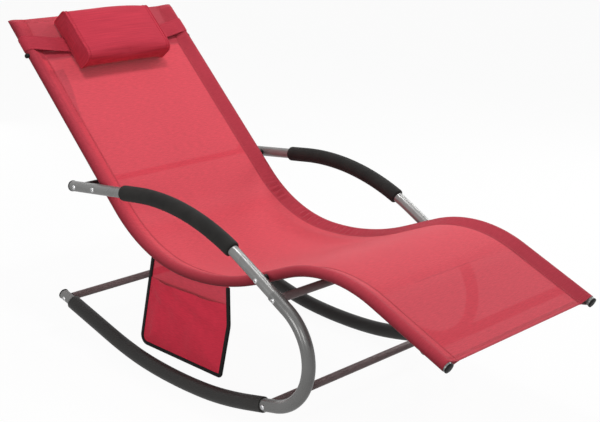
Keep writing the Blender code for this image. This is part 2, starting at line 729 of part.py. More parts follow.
def pocket_panel(name, rail, outline, bulge, mouth, near, far, material, carrier):
    """A pocket panel between its rear and front edges; near and far are its faces' offsets along -Y.

    The panel follows the sleeve's underside, or ends at a straight mouth between two heights.
    """
    corner = POCKET_CORNER_STEPS // 2 + 1
    after = corner + POCKET_CORNER_STEPS + 1
    rear = outline[:corner + 1]
    bottom = outline[corner:after + 1]
    front = outline[after:][::-1]
    if mouth:
        rear = below(rear, mouth[0])
        front = below(front, mouth[1])
    edge = BINDING_LIP + BINDING_WEB
    fall_line = [(0.0, 0.0), (0.0, distances(rear)[-1] - edge)]
    falls = [run for _, run in split_long(fall_line, POCKET_CELL)] + [distances(rear)[-1]]
    width = front[0][0] - rear[0][0]
    knots = [(x, 0.0) for x, _ in rail if edge < x - rear[0][0] < width - edge]
    knots = [(rear[0][0] + edge, 0.0)] + knots + [(front[0][0] - edge, 0.0)]
    shares = [0.0] + [(x - rear[0][0]) / width for x, _ in split_long(knots, POCKET_CELL)] + [1.0]
    rows, columns = len(falls) - 1, len(shares) - 1

    def on_edge(line, t):
        return Vector(place_on(line, t * distances(line)[-1])[0])

    def on_top(s):
        x = rear[0][0] + s * (front[0][0] - rear[0][0])
        if mouth:
            return Vector((x, mouth[0] + s * (mouth[1] - mouth[0])))
        return Vector((x, under_rail(rail, x)))

    lattice = []
    for fall in falls:
        t = fall / distances(rear)[-1]
        points = []
        for s in shares:
            place = (1 - s) * on_edge(rear, t) + s * on_edge(front, t)
            place += (1 - t) * on_top(s) + t * on_edge(bottom, s)
            place -= (1 - t) * ((1 - s) * on_top(0.0) + s * on_top(1.0))
            place -= t * ((1 - s) * on_edge(bottom, 0.0) + s * on_edge(bottom, 1.0))
            x, z = place
            rise = min(max((off_outline(outline, x, z) - edge) / POCKET_BULGE_REACH, 0.0), 1.0)
            points.append((x, z, bulge * rise * (2 - rise)))
        lattice.append(points)
    bm = bmesh.new()
    faces = []
    for offset in (near, far):
        faces.append([[bm.verts.new((x, -RAIL_Y - offset - swell, z)) for x, z, swell in points]
                      for points in lattice])
    for grid in faces:
        for r in range(rows):
            for c in range(columns):
                bm.faces.new((grid[r][c], grid[r][c + 1], grid[r + 1][c + 1], grid[r + 1][c]))
    rim = [(0, c) for c in range(columns)] + [(r, columns) for r in range(rows)]
    rim += [(rows, c) for c in range(columns, 0, -1)] + [(r, 0) for r in range(rows, 0, -1)]
    for (r, c), (p, q) in zip(rim, rim[1:] + rim[:1]):
        bm.faces.new((faces[0][r][c], faces[0][p][q], faces[1][p][q], faces[1][r][c]))
    return solid(name, bm, material, carrier)


def make_pocket(rail, cloth, tape, carrier):
    outline = pocket_outline(rail)
    half = CLEARANCE / 2
    mouth = (POCKET_MOUTH_REAR_Z, POCKET_MOUTH_FRONT_Z)
    pocket_panel("pocket_panel", rail, outline, 0.0, None, -half - POCKET_FABRIC, -half, cloth, carrier)
    pocket_panel("pocket_pouch", rail, outline, POCKET_BULGE, mouth, half, half + POCKET_FABRIC, cloth, carrier)
    room = half + POCKET_FABRIC + CLEARANCE
    thick = room + BINDING_WALL
    outer = [(thick, BINDING_LIP), (thick, -BINDING_WEB), (-thick, -BINDING_WEB), (-thick, BINDING_LIP)]
    inner = [(room, BINDING_LIP), (room, -CLEARANCE), (-room, -CLEARANCE), (-room, BINDING_LIP)]
    section = outer + inner[::-1]
    bound = part_of(outline, BINDING_SHORT, distances(outline)[-1] - BINDING_SHORT)
    frames = stations(bound, RAIL_Y, -1)
    ribbon("pocket_binding", frames, [section] * len(frames), tape, carrier)


def build_chair():
    clear_scene()
    steel = finish("silver grey tube", (0.36, 0.36, 0.35), 0.35, 0.8)
    bright = finish("bright bolt", (0.75, 0.75, 0.75), 0.25, 1.0)
    dark_steel = finish("black tube", (0.02, 0.02, 0.02), 0.4, 0.3)
    black = finish("black plastic", (0.02, 0.02, 0.02), 0.5)
    foam = finish("black foam", (0.025, 0.024, 0.022), 0.9)
    rubber = finish("black rubber", (0.03, 0.028, 0.026), 0.75)
    cloth = finish("red sling cloth", (0.62, 0.08, 0.11), 0.8)
    tape = finish("black binding tape", (0.015, 0.014, 0.014), 0.85)

    rail = rail_line()
    frame = frame_line()
    rail_end = distances(rail)[-1]
    frame_end = distances(frame)[-1]
    bend_top = ARM_TAIL_LENGTH + bend_run(ARM_BEND_RADIUS, ARM_TURN, ARM_BEND_STEPS) + DROP_LENGTH
    bend_foot = bend_top + bend_run(BEND_RADIUS, BEND_TURN, BEND_STEPS)
    knee = bend_top - KNEE_BOLT_FROM_BEND
    rocker_front = bend_foot + ROCKER_BOLT_FROM_BEND
    marks = {
        "arm_end": knee + SOCKET_OVERLAP,
        "bend_start": knee - BEND_COLLAR_TOP,
        "bend_end": rocker_front + BEND_COLLAR_FOOT,
        "rocker_start": rocker_front - SOCKET_OVERLAP,
    }
    tail = part_of(frame, 0.0, ARM_TAIL_LENGTH)
    drop = part_of(frame, bend_top - DROP_LENGTH, bend_top)
    bolts = {
        "back": place_on(frame, BACK_BAR_FROM_TAIL)[0],
        "rail_rear": crossing(tail, rail),
        "rail_front": crossing(drop, rail),
        "knee": place_on(frame, knee)[0],
        "rocker_front": place_on(frame, rocker_front)[0],
        "rocker_rear": place_on(frame, frame_end - REAR_BAR_FROM_END)[0],
        "head": place_on(rail, HEAD_BAR_FROM_END)[0],
        "foot": place_on(rail, rail_end - FOOT_BAR_FROM_END)[0],
    }

    chair = carrier_at("chair_frame", (0, 0, 0))
    make_rails(rail, bolts, steel, black, chair)
    make_rocker_frames(frame, marks, bolts, steel, foam, rubber, black, chair)
    make_crossbars_and_bolts(bolts, steel, dark_steel, bright, black, chair)
    make_sling(rail, bolts, cloth, chair)

    x, z = place_on(rail, STRAP_FROM_HEAD + STRAP_WIDTH / 2)[0]
    make_pillow(rail, cloth, carrier_at("pillow_slide", (x, 0, z)))

    hang_x = (POCKET_REAR_TOP + POCKET_FRONT_TOP) / 2
    hang_z = under_rail(rail, SEAT_LOW_X)
    make_pocket(rail, cloth, tape, carrier_at("pocket_hinge", (hang_x, -RAIL_Y, hang_z)))
    bpy.context.view_layer.update()


build_chair()
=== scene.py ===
"""Looks of an outdoor rocking lounger: red sling cloth on bent rails, carried by silver tube rocker frames.

Metres, +Z up, +X to the feet, +Y to the sitter's left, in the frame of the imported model.
"""

from math import acos, atan2, ceil, cos, pi, radians, sin, tan

import bmesh
import bpy
import numpy as np
from mathutils import Matrix, Vector


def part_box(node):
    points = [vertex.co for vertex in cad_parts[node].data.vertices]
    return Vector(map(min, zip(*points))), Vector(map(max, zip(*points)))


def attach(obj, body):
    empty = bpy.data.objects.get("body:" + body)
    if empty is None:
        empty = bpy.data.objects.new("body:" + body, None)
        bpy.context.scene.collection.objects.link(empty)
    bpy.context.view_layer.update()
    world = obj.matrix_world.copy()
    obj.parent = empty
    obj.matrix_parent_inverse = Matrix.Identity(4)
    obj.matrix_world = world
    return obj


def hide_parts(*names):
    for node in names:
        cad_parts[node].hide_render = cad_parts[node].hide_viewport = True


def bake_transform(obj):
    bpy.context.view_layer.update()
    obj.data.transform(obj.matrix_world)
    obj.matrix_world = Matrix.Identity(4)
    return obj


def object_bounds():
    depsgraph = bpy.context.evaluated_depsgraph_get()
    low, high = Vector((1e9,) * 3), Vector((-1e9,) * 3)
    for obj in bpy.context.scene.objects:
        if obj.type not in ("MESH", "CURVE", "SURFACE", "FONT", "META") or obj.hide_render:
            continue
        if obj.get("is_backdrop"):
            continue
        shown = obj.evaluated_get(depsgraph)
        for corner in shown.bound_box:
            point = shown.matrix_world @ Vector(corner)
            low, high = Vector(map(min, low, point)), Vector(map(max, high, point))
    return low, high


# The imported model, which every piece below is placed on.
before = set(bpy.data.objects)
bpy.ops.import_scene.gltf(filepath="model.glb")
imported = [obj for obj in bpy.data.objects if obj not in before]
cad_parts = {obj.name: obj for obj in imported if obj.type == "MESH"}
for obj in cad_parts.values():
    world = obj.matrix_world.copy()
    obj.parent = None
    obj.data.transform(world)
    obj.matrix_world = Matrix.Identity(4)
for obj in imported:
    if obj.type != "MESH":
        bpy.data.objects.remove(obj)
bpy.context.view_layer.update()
hands = {"left": 1, "right": -1}

# Rocker tubes: round steel tube rolled to one long even curve and coated in silver grey.
# Each lies on the floor inside its black sleeve, and its front end is pushed into the front bend.
slim_radius = 0.0131
tube_wall = 0.0012
tube_edge = 0.0004
bore_depth = 0.030
sleeve_radius = 0.017
rocker_radius = 1.024
rocker_low_x = -0.0358
rocker_level_turn = radians(2.8)
rocker_level_height = 0.01642
rocker_turn = radians(14.0)
rocker_front_length = 0.0865
rocker_rear_length = 0.219
rocker_settle_reach = 0.16
bend_radius = 0.1265
drop_angle = radians(27.7)
drop_length = 0.158
arm_bend_radius = 0.600
arm_angle = radians(7.9)
arm_tail_length = 0.270
bend_step = radians(2.5)
bend_chord = 0.012
tube_sides = 36
search_places = 8001
sharp_angle = radians(38)
silver_shade = (0.225, 0.224, 0.220)
silver_edge = (0.25, 0.25, 0.25)
silver_gloss = 0.15
socket_overlap = 0.022
rocker_from_rear = 0.008


def middle(node):
    """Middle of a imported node's box."""
    low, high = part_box(node)
    return (low + high) / 2


def bent_line(start, heading, moves):
    """Points of a bent tube in the XZ plane: a move is (length,) or (radius, turn), left turns positive."""
    x, z = start
    points = [(x, z)]
    for move in moves:
        steps = 1
        chord, turn = move[0], 0.0
        if len(move) == 2:
            radius, whole = move
            steps = ceil(max(abs(whole) / bend_step, radius * abs(whole) / bend_chord))
            turn = whole / steps
            chord = 2 * radius * sin(abs(turn) / 2)
        for _ in range(steps):
            heading += turn / 2
            x += chord * cos(heading)
            z += chord * sin(heading)
            heading += turn / 2
            points.append((x, z))
    return points


def runs_of(line):
    """Distance along a line at each of its points."""
    return np.concatenate(([0.0], np.cumsum(np.hypot(*np.diff(line, axis=0).T))))


def on_line(line, runs):
    """Points and headings at distances along a line."""
    own = runs_of(line)
    steps = np.diff(line, axis=0)
    turns = np.unwrap(np.arctan2(steps[:, 1], steps[:, 0]))
    turns = np.concatenate((turns[:1], (turns[1:] + turns[:-1]) / 2, turns[-1:]))
    points = np.stack([np.interp(runs, own, line[:, k]) for k in (0, 1)], axis=1)
    return points, np.interp(runs, own, turns)


def between(line, start, end):
    """Distances of a line's own points from start to end, both included."""
    own = runs_of(line)
    return [start, *own[(own > start + tube_edge) & (own < end - tube_edge)], end]


def piece(name, points, faces, finish, body=None, closed=True):
    """A named mesh piece that rides on a body."""
    mesh = bpy.data.meshes.new(name)
    mesh.from_pydata([tuple(p) for p in points], [], faces)
    if closed:
        skin = bmesh.new()
        skin.from_mesh(mesh)
        bmesh.ops.recalc_face_normals(skin, faces=skin.faces)
        skin.to_mesh(mesh)
        skin.free()
    mesh.materials.append(finish)
    mesh.shade_smooth()
    mesh.set_sharp_from_angle(angle=sharp_angle)
    made = bpy.data.objects.new(name, mesh)
    bpy.context.scene.collection.objects.link(made)
    if body:
        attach(made, body)
    return made


def ring_faces(rings, around, capped=True):
    """Faces of a round skin whose points run ring after ring."""
    faces = []
    for r in range(rings - 1):
        for k in range(around):
            m = (k + 1) % around
            a, b = r * around, (r + 1) * around
            faces.append((a + k, a + m, b + m, b + k))
    if capped:
        last = (rings - 1) * around
        faces.append(tuple(range(around - 1, -1, -1)))
        faces.append(tuple(range(last, last + around)))
    return faces


def sweep(name, line, y, rings, finish, body="chair"):
    """A closed round piece along a centreline; rings are (distance, radius) from one end to the other."""
    runs, radii = np.array(rings).T
    points, headings = on_line(line, runs)
    turns = np.arange(tube_sides) * 2 * pi / tube_sides
    lift = radii[:, None] * np.sin(turns)
    x = points[:, :1] - lift * np.sin(headings)[:, None]
    z = points[:, 1:] + lift * np.cos(headings)[:, None]
    wide = y + radii[:, None] * np.cos(turns)
    skin = np.stack((x, wide, z), axis=2).reshape(-1, 3)
    return piece(name, skin, ring_faces(len(rings), tube_sides), finish, body)


def pipe_rings(line, start, end, radius):
    """Rings of a tube that is open for some way in at both ends."""
    bore = radius - tube_wall
    rings = [(start + bore_depth, bore), (start, bore), (start, radius - tube_edge)]
    rings += [(run, radius) for run in between(line, start + tube_edge, end - tube_edge)]
    return rings + [(end, radius - tube_edge), (end, bore), (end - bore_depth, bore)]


def new_finish(name, colour, roughness, metallic=0.0):
    """A material whose shader takes one roughness and metallic value; its colour is the starting point."""
    made = bpy.data.materials.new(name)
    made.use_nodes = True
    shader = made.node_tree.nodes["Principled BSDF"]
    shader.inputs["Base Color"].default_value = (*colour, 1.0)
    shader.inputs["Roughness"].default_value = roughness
    shader.inputs["Metallic"].default_value = metallic
    return made, made.node_tree, shader


def node(tree, kind, settings=(), **inputs):
    """A shader node; inputs are values, or output sockets to link from. Underscores stand for spaces."""
    made = tree.nodes.new(kind)
    for key, value in settings:
        setattr(made, key, value)
    for key, value in inputs.items():
        numbered = key[0] == "i" and key[1:].isdigit()
        socket = made.inputs[int(key[1:]) if numbered else key.replace("_", " ")]
        if isinstance(value, bpy.types.NodeSocket):
            tree.links.new(value, socket)
        else:
            socket.default_value = value
    return made


def place(tree):
    """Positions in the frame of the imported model."""
    return node(tree, "ShaderNodeTexCoord").outputs["Object"]


def noise(tree, vector, scale, detail=2.0):
    """Soft clouds from 0 to 1."""
    return node(tree, "ShaderNodeTexNoise", Vector=vector, Scale=scale, Detail=detail).outputs["Fac"]


def spread(tree, value, low, high):
    """Map the useful middle of a 0 to 1 value onto low to high."""
    made = node(tree, "ShaderNodeMapRange", Value=value, From_Min=0.3, From_Max=0.7, To_Min=low, To_Max=high)
    return made.outputs["Result"]


def shades(tree, value, dark, light):
    """A colour between two, by a 0 to 1 value."""
    made = node(tree, "ShaderNodeMix", [("data_type", "RGBA")], i0=value)
    made.inputs[6].default_value = (*dark, 1.0)
    made.inputs[7].default_value = (*light, 1.0)
    return made.outputs[2]


def tint(colour, share):
    """A colour made lighter or darker."""
    return [share * c for c in colour]


def bump(tree, shader, height, strength, distance):
    """Fine relief on a shader, from a 0 to 1 height."""
    made = node(tree, "ShaderNodeBump", Height=height, Strength=strength, Distance=distance)
    tree.links.new(made.outputs["Normal"], shader.inputs["Normal"])


def silver_coat(name, shade):
    """Silver grey powder coat: fine metal flake over mid grey, with a faint orange peel under the shine."""
    finish, tree, shader = new_finish(name, shade, roughness=0.30, metallic=0.35)
    shader.inputs["Specular Tint"].default_value = (*silver_edge, 1.0)
    shader.inputs["Coat Weight"].default_value = silver_gloss
    shader.inputs["Coat Roughness"].default_value = 0.22
    flake = noise(tree, place(tree), 1500.0, 1.0)
    cloud = noise(tree, place(tree), 14.0)
    tone = node(tree, "ShaderNodeMix", i0=0.4, i2=flake, i3=cloud).outputs[0]
    tone = shades(tree, spread(tree, tone, 0.0, 1.0), tint(shade, 0.84), tint(shade, 1.16))
    tree.links.new(tone, shader.inputs["Base Color"])
    tree.links.new(spread(tree, cloud, 0.24, 0.32), shader.inputs["Roughness"])
    bump(tree, shader, noise(tree, place(tree), 420.0, 3.0), 0.03, 0.0004)
    return finish


def rocker_frame_line():
    """Centreline of one side frame, from the arm's tail round the front bend to the rocker's rear end."""
    low = rocker_level_height - rocker_radius * (1 - cos(rocker_level_turn))
    front = bent_line((rocker_low_x, low), 0.0, [
        (rocker_radius, rocker_turn),
        (rocker_front_length,),
        (bend_radius, pi - drop_angle - rocker_turn),
        (drop_length,),
        (arm_bend_radius, drop_angle + arm_angle),
        (arm_tail_length,),
    ])
    rear = bent_line((rocker_low_x, low), pi, [(rocker_radius, -rocker_turn), (rocker_rear_length,)])
    line = np.array(front[::-1] + rear[1:])
    share = (line[:, 0] - rocker_low_x) / rocker_settle_reach
    settled = (np.abs(share) < 1) & (line[:, 1] < bend_radius)
    line[settled, 1] += (sleeve_radius - low) * (1 - share[settled] ** 2) ** 2
    return line


def nearest_run(line, node_name):
    """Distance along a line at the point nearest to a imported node's middle."""
    spot = middle(node_name)
    own = runs_of(line)
    fine = np.linspace(0, own[-1], search_places)
    points = on_line(line, fine)[0]
    return fine[np.argmin(np.hypot(points[:, 0] - spot.x, points[:, 1] - spot.z))]


side_line = rocker_frame_line()
side_length = runs_of(side_line)[-1]
frame_y = middle("rocker_tube_left").y
silver = silver_coat("silver coat", silver_shade)
knee_run = nearest_run(side_line, "bolt_knee_left")
rocker_front_run = nearest_run(side_line, "bolt_rocker_front_left")
for word, hand in hands.items():
    rings = pipe_rings(side_line, rocker_front_run - socket_overlap, side_length - rocker_from_rear,
                       slim_radius)
    rocker = sweep("silver_rocker_" + word, side_line, hand * frame_y, rings, silver)
    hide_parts("rocker_tube_" + word)

# Rocker sleeves: black rubber tube pushed over each rocker tube before the frame is bolted up.
# They carry the chair, so they are pressed flat on the floor; their cut ends have a small soft edge.
sleeve_swell = 1.07
sleeve_from_rear = 0.049
sleeve_end_round = 0.0018
end_steps = 5
bend_collar_foot = 0.010
rubber_dark = (0.009, 0.0085, 0.008)
rubber_light = (0.018, 0.0165, 0.015)


def mottled(name, dark, light, cloud, roughness=0.5, metallic=0.0, specular=None, rough=None, grain=None):
    """A finish that drifts between two shades in soft clouds, with its roughness and its fine relief."""
    shade = [(a + b) / 2 for a, b in zip(dark, light)]
    finish, tree, shader = new_finish(name, shade, roughness, metallic)
    if specular is not None:
        shader.inputs["Specular IOR Level"].default_value = specular
    drift = noise(tree, place(tree), *cloud)
    tree.links.new(shades(tree, spread(tree, drift, 0.0, 1.0), dark, light), shader.inputs["Base Color"])
    if rough:
        tree.links.new(spread(tree, drift, *rough), shader.inputs["Roughness"])
    if grain:
        scale, detail, strength, distance = grain
        bump(tree, shader, noise(tree, place(tree), scale, detail), strength, distance)
    return finish


def soft_rings(line, start, end, radius, bore, edge):
    """Rings of a sleeve whose two ends are rounded over."""
    turns = [k * pi / 2 / (end_steps - 1) for k in range(end_steps)]
    rounds = [(edge * (1 - sin(turn)), radius - edge * (1 - cos(turn))) for turn in turns]
    rings = [(start, bore)] + [(start + inset, reach) for inset, reach in rounds[::-1]]
    rings += [(run, radius) for run in between(line, start + edge, end - edge)[1:-1]]
    return rings + [(end - inset, reach) for inset, reach in rounds] + [(end, bore)]


rubber = mottled("black rubber", rubber_dark, rubber_light, (22.0, 4.0), specular=0.30, rough=(0.48, 0.62),
                 grain=(900.0, 2.0, 0.20, 0.0004))
for word, hand in hands.items():
    rings = soft_rings(side_line, rocker_front_run + bend_collar_foot, side_length - sleeve_from_rear,
                       sleeve_swell * sleeve_radius, slim_radius, sleeve_end_round)
    sleeve = sweep("black_sleeve_" + word, side_line, hand * frame_y, rings, rubber)
    for corner in sleeve.data.vertices:
        corner.co.z = max(corner.co.z, 0.0)
    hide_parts("rocker_sleeve_" + word)

# Front bends: wider C-shaped steel tubes in the silver coat, drawn darker as painted shade, bent round a
# former.
# The arm tube enters at the top and the rocker tube at the foot, each held by one through bolt.
bend_tube_radius = 0.0149
bend_collar_top = 0.014
# Painted shade: the bends' grey is darker than the arms' to stand for the shade on their upright sides.
bend_painted_shade = (0.172, 0.171, 0.168)
shaded_bend_silver = silver_coat("silver coat in painted shade", bend_painted_shade)
for word, hand in hands.items():
    rings = pipe_rings(side_line, knee_run - bend_collar_top, rocker_front_run + bend_collar_foot,
                       bend_tube_radius)
    bend = sweep("silver_bend_" + word, side_line, hand * frame_y, rings, shaded_bend_silver)
    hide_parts("front_bend_" + word)

# Arm tubes: slim silver tubes that run from the front bend, over the seat, to a straight tail behind it.
# The foam grip slides over the bowed part, and the tail carries the rail and the back bar.
arm_from_tail = 0.011
for word, hand in hands.items():
    rings = pipe_rings(side_line, arm_from_tail, knee_run + socket_overlap, slim_radius)
    arm = sweep("silver_arm_" + word, side_line, hand * frame_y, rings, silver)
    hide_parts("arm_tube_" + word)

# Arm grips: thick black foam tubes pushed over the bowed part of the arms, not quite alike on the two sides.
# The foam is closed-cell, finely pored and very matte. Its cut ends round over against the tube.
grip_radius = 0.0188
grip_runs = {"left": (0.212, 0.596), "right": (0.218, 0.609)}
grip_end_round = 0.0045
foam_dark = (0.009, 0.0085, 0.008)
foam_light = (0.018, 0.0168, 0.0155)
pore_scale = 650.0
foam = mottled("black foam", foam_dark, foam_light, (30.0, 5.0), roughness=0.8, specular=0.22)
tree = foam.node_tree
pores = node(tree, "ShaderNodeTexVoronoi", Vector=place(tree), Scale=pore_scale).outputs["Distance"]
bump(tree, tree.nodes["Principled BSDF"], pores, 0.35, 0.0006)
for word, hand in hands.items():
    rings = soft_rings(side_line, *grip_runs[word], grip_radius, slim_radius, grip_end_round)
    grip = sweep("foam_grip_" + word, side_line, hand * frame_y, rings, foam)
    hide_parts("arm_grip_" + word)

# Side rails: one S-shaped silver tube on each side, bent for the back, seat, knee and feet.
# The sling's sewn sleeves cover them, and only their foot ends show.
rail_radius = 0.011
seat_low = (-0.0440, 0.276)
back_angle = radians(42.8)
back_length = 0.592
seat_radius = 0.363
thigh_radius = 0.601
thigh_angle = radians(24.1)
thigh_length = 0.0975
knee_radius = 0.3155
foot_angle = radians(21.7)
foot_length = 0.207
rail_from_head = 0.018
rail_from_foot = {"left": 0.0, "right": 0.003}


def side_rail_line():
    """Rail centreline from the head end to the foot end."""
    back = bent_line(seat_low, pi, [(seat_radius, -back_angle), (back_length,)])
    front = bent_line(seat_low, 0.0, [
        (thigh_radius, thigh_angle),
        (thigh_length,),
        (knee_radius, -thigh_angle - foot_angle),
        (foot_length,),
    ])
    return np.array(back[::-1] + front[1:])


rail_line = side_rail_line()
rail_length = runs_of(rail_line)[-1]
rail_y = middle("rail_left").y
for word, hand in hands.items():
    rings = pipe_rings(rail_line, rail_from_head, rail_length - rail_from_foot[word], rail_radius)
    rail = sweep("silver_rail_" + word, rail_line, hand * rail_y, rings, silver)
    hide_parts("rail_" + word)

# End plugs: black moulded caps pressed into the open ends of the rails, arms and rockers.
# Each has a plain stem in the tube, a thick flange over the tube's wall and a low dome outside.
plug_rim = 0.0048
plug_flange = 0.0034
plug_stem = 0.012
plug_seat = 0.0003
plug_slack = 0.0002
plug_share = 1.06
plug_dome = ((0.05, 1.0), (0.35, 0.92), (0.60, 0.74), (0.78, 0.48), (0.88, 0.22), (0.92, 0.05))
plug_edge = ((0.97, 1.0), (1.0, 0.7))
turned_core = 0.001
round_sides = 48
plug_dark = (0.006, 0.006, 0.006)
plug_light = (0.014, 0.0135, 0.013)


def turned(name, profile, point, axis, finish, body="chair"):
    """A closed turned piece: profile is (radius, along) or (flat, along, 6) for a hexagon ring."""
    axis = Vector(axis).normalized()
    across = axis.orthogonal().normalized()
    other = axis.cross(across)
    skin = []
    for radius, along, *corners in profile:
        for k in range(round_sides):
            turn = 2 * pi * k / round_sides
            reach = radius
            if corners:
                half = pi / corners[0]
                reach = radius / cos((turn + half) % (2 * half) - half)
            skin.append(Vector(point) + axis * along + (across * cos(turn) + other * sin(turn)) * reach)
    return piece(name, skin, ring_faces(len(profile), round_sides), finish, body)


def domed(radius, bore):
    """Profile of a plug from the middle of its low dome, over its flange, to the end of its stem."""
    dome = plug_rim - plug_flange
    profile = [(share * radius, plug_flange + height * dome) for share, height in plug_dome]
    profile += [(share * radius, height * plug_flange) for share, height in plug_edge]
    profile += [(radius, plug_seat), (bore, plug_seat)]
    return profile + [(bore, -plug_stem), (turned_core, -plug_stem)]


black = mottled("moulded black", plug_dark, plug_light, (160.0, 3.0), specular=0.10, rough=(0.38, 0.52),
                grain=(1400.0, 1.0, 0.15, 0.0003))
plug_places = {
    "arm_cap": (side_line, frame_y, slim_radius, dict.fromkeys(hands, arm_from_tail)),
    "rocker_cap": (side_line[::-1], frame_y, slim_radius, dict.fromkeys(hands, rocker_from_rear)),
    "rail_head_cap": (rail_line, rail_y, rail_radius, dict.fromkeys(hands, rail_from_head)),
    "rail_foot_cap": (rail_line[::-1], rail_y, rail_radius, rail_from_foot),
}
for node_name, (line, y, radius, from_end) in plug_places.items():
    profile = domed(plug_share * radius, radius - tube_wall - plug_slack)
    for word, hand in hands.items():
        (x, z), (bx, bz) = on_line(line, np.array((from_end[word], from_end[word] + plug_stem)))[0]
        outward = (x - bx, 0, z - bz)
        plug = turned("%s_%s_plug" % (node_name, word), profile, (x, hand * y, z), outward, black)
        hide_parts("%s_%s" % (node_name, word))

# Crossbars: straight tubes in a dull grey coat with a painted red reflection, between the two sides, cut
# square and bolted at their ends.
# The thin one behind the back is a black rod; the head and foot bars hang a little below the rails.
bar_radius = 0.0095
back_bar_radius = 0.0075
head_bar_radius = 0.0085
head_bar_drop = 0.0095
foot_bar_radius = 0.0105
foot_bar_drop = 0.0115
# The crossbars' grey has a red tint: painted reflection of the red cloth above them.
bar_grey_with_painted_red = (0.205, 0.155, 0.155)
rod_dark = (0.012, 0.012, 0.012)
rod_light = (0.024, 0.024, 0.023)
dull_grey = mottled("dull grey coat", tint(bar_grey_with_painted_red, 0.85), tint(bar_grey_with_painted_red, 1.15), (40.0, 3.0),
                    specular=0.25, grain=(500.0, 2.0, 0.05, 0.0003))
satin_black = mottled("black coat", rod_dark, rod_light, (60.0, 2.0), roughness=0.4, metallic=0.2,
                      grain=(500.0, 2.0, 0.10, 0.0003))
bars = {
    "head_bar": (head_bar_radius, head_bar_drop, dull_grey, "silver_tube"),
    "foot_bar": (foot_bar_radius, foot_bar_drop, dull_grey, "silver_tube"),
    "back_bar": (back_bar_radius, 0.0, satin_black, "black_tube"),
    "knee_bar": (bar_radius, 0.0, dull_grey, "silver_tube"),
    "rocker_front_bar": (bar_radius, 0.0, dull_grey, "silver_tube"),
    "rocker_rear_bar": (bar_radius, 0.0, dull_grey, "silver_tube"),
}
for node_name, (radius, drop, finish, slot) in bars.items():
    low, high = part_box(node_name)
    spot = middle(node_name)
    if drop:
        heading = on_line(rail_line, np.array([nearest_run(rail_line, node_name)]))[1][0]
        spot -= drop * Vector((-sin(heading), 0, cos(heading)))
    half = (high.y - low.y) / 2
    profile = [(turned_core, -half), (radius - tube_edge, -half), (radius, tube_edge - half)]
    profile += [(radius, share * half / 4) for share in range(-3, 4)]
    profile += [(radius, half - tube_edge), (radius - tube_edge, half), (turned_core, half)]
    bar = turned("round_" + node_name, profile, spot, (0, 1, 0), finish)
    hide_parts(node_name)

# Spacers and bolts: black moulded rings keep the arms off the rails where the two are bolted together.
# The bolts are bright button heads with a hexagon socket; the head bar has black caps, low on the far side.
bolt_head_radius = 0.0056
bolt_head_height = 0.0034
bolt_head_room = 0.0036
bolt_socket = 0.0021
bolt_stem_radius = 0.0029
bolt_core = 0.0002
knob_radius = 0.0060
knob_heights = {"left": 0.0025, "right": 0.010}
spacer_radius = 0.0080
spacer_bore = 0.0031
spacer_edge = 0.0008
zinc_dark = (0.44, 0.44, 0.45)
zinc_light = (0.60, 0.60, 0.60)


def button_head(stem):
    """Profile of a button head bolt, from the bottom of its socket to the end of its stem."""
    top = bolt_head_height
    return [
        (bolt_core, 0.35 * top),
        (bolt_socket, 0.40 * top, 6),
        (bolt_socket, 0.98 * top, 6),
        (bolt_socket * 1.25, top),
        (0.70 * bolt_head_radius, 0.88 * top),
        (0.88 * bolt_head_radius, 0.62 * top),
        (bolt_head_radius, 0.22 * top),
        (bolt_head_radius, 0.0),
        (bolt_stem_radius, 0.0),
        (bolt_stem_radius, -stem),
        (bolt_core, -stem),
    ]


def knob_cap(height, stem):
    """Profile of a rounded cap on its screw."""
    return [
        (bolt_core, height),
        (0.50 * knob_radius, 0.97 * height),
        (0.82 * knob_radius, 0.86 * height),
        (knob_radius, 0.66 * height),
        (knob_radius, 0.0),
        (bolt_stem_radius, 0.0),
        (bolt_stem_radius, -stem),
        (bolt_core, -stem),
    ]


zinc = mottled("bright zinc", zinc_dark, zinc_light, (700.0, 2.0), metallic=1.0, rough=(0.20, 0.34))
bolt_kinds = ("back", "rail_rear", "rail_front", "knee", "rocker_front", "rocker_rear", "head")
for word, hand in hands.items():
    for kind in bolt_kinds:
        node_name = "bolt_%s_%s" % (kind, word)
        low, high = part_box(node_name)
        spot = middle(node_name)
        capped = kind == "head"
        room = max(knob_heights.values()) if capped else bolt_head_room
        spot.y = hand * (max(abs(low.y), abs(high.y)) - room)
        stem = high.y - low.y - room
        profile = knob_cap(knob_heights[word], stem) if capped else button_head(stem)
        finish = black if capped else zinc
        bolt = turned("fixing_%s_%s" % (kind, word), profile, spot, (0, hand, 0), finish)
        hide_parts(node_name)
    for kind in ("rear", "front"):
        node_name = "spacer_%s_%s" % (kind, word)
        low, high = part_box(node_name)
        half = (high.y - low.y) / 2
        side = [(spacer_bore, half), (spacer_radius - spacer_edge, half), (spacer_radius, half - spacer_edge)]
        profile = [(radius, -along) for radius, along in side] + side[::-1]
        ring = turned("ring_%s_%s" % (kind, word), profile, middle(node_name), (0, 1, 0), black)
        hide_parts(node_name)

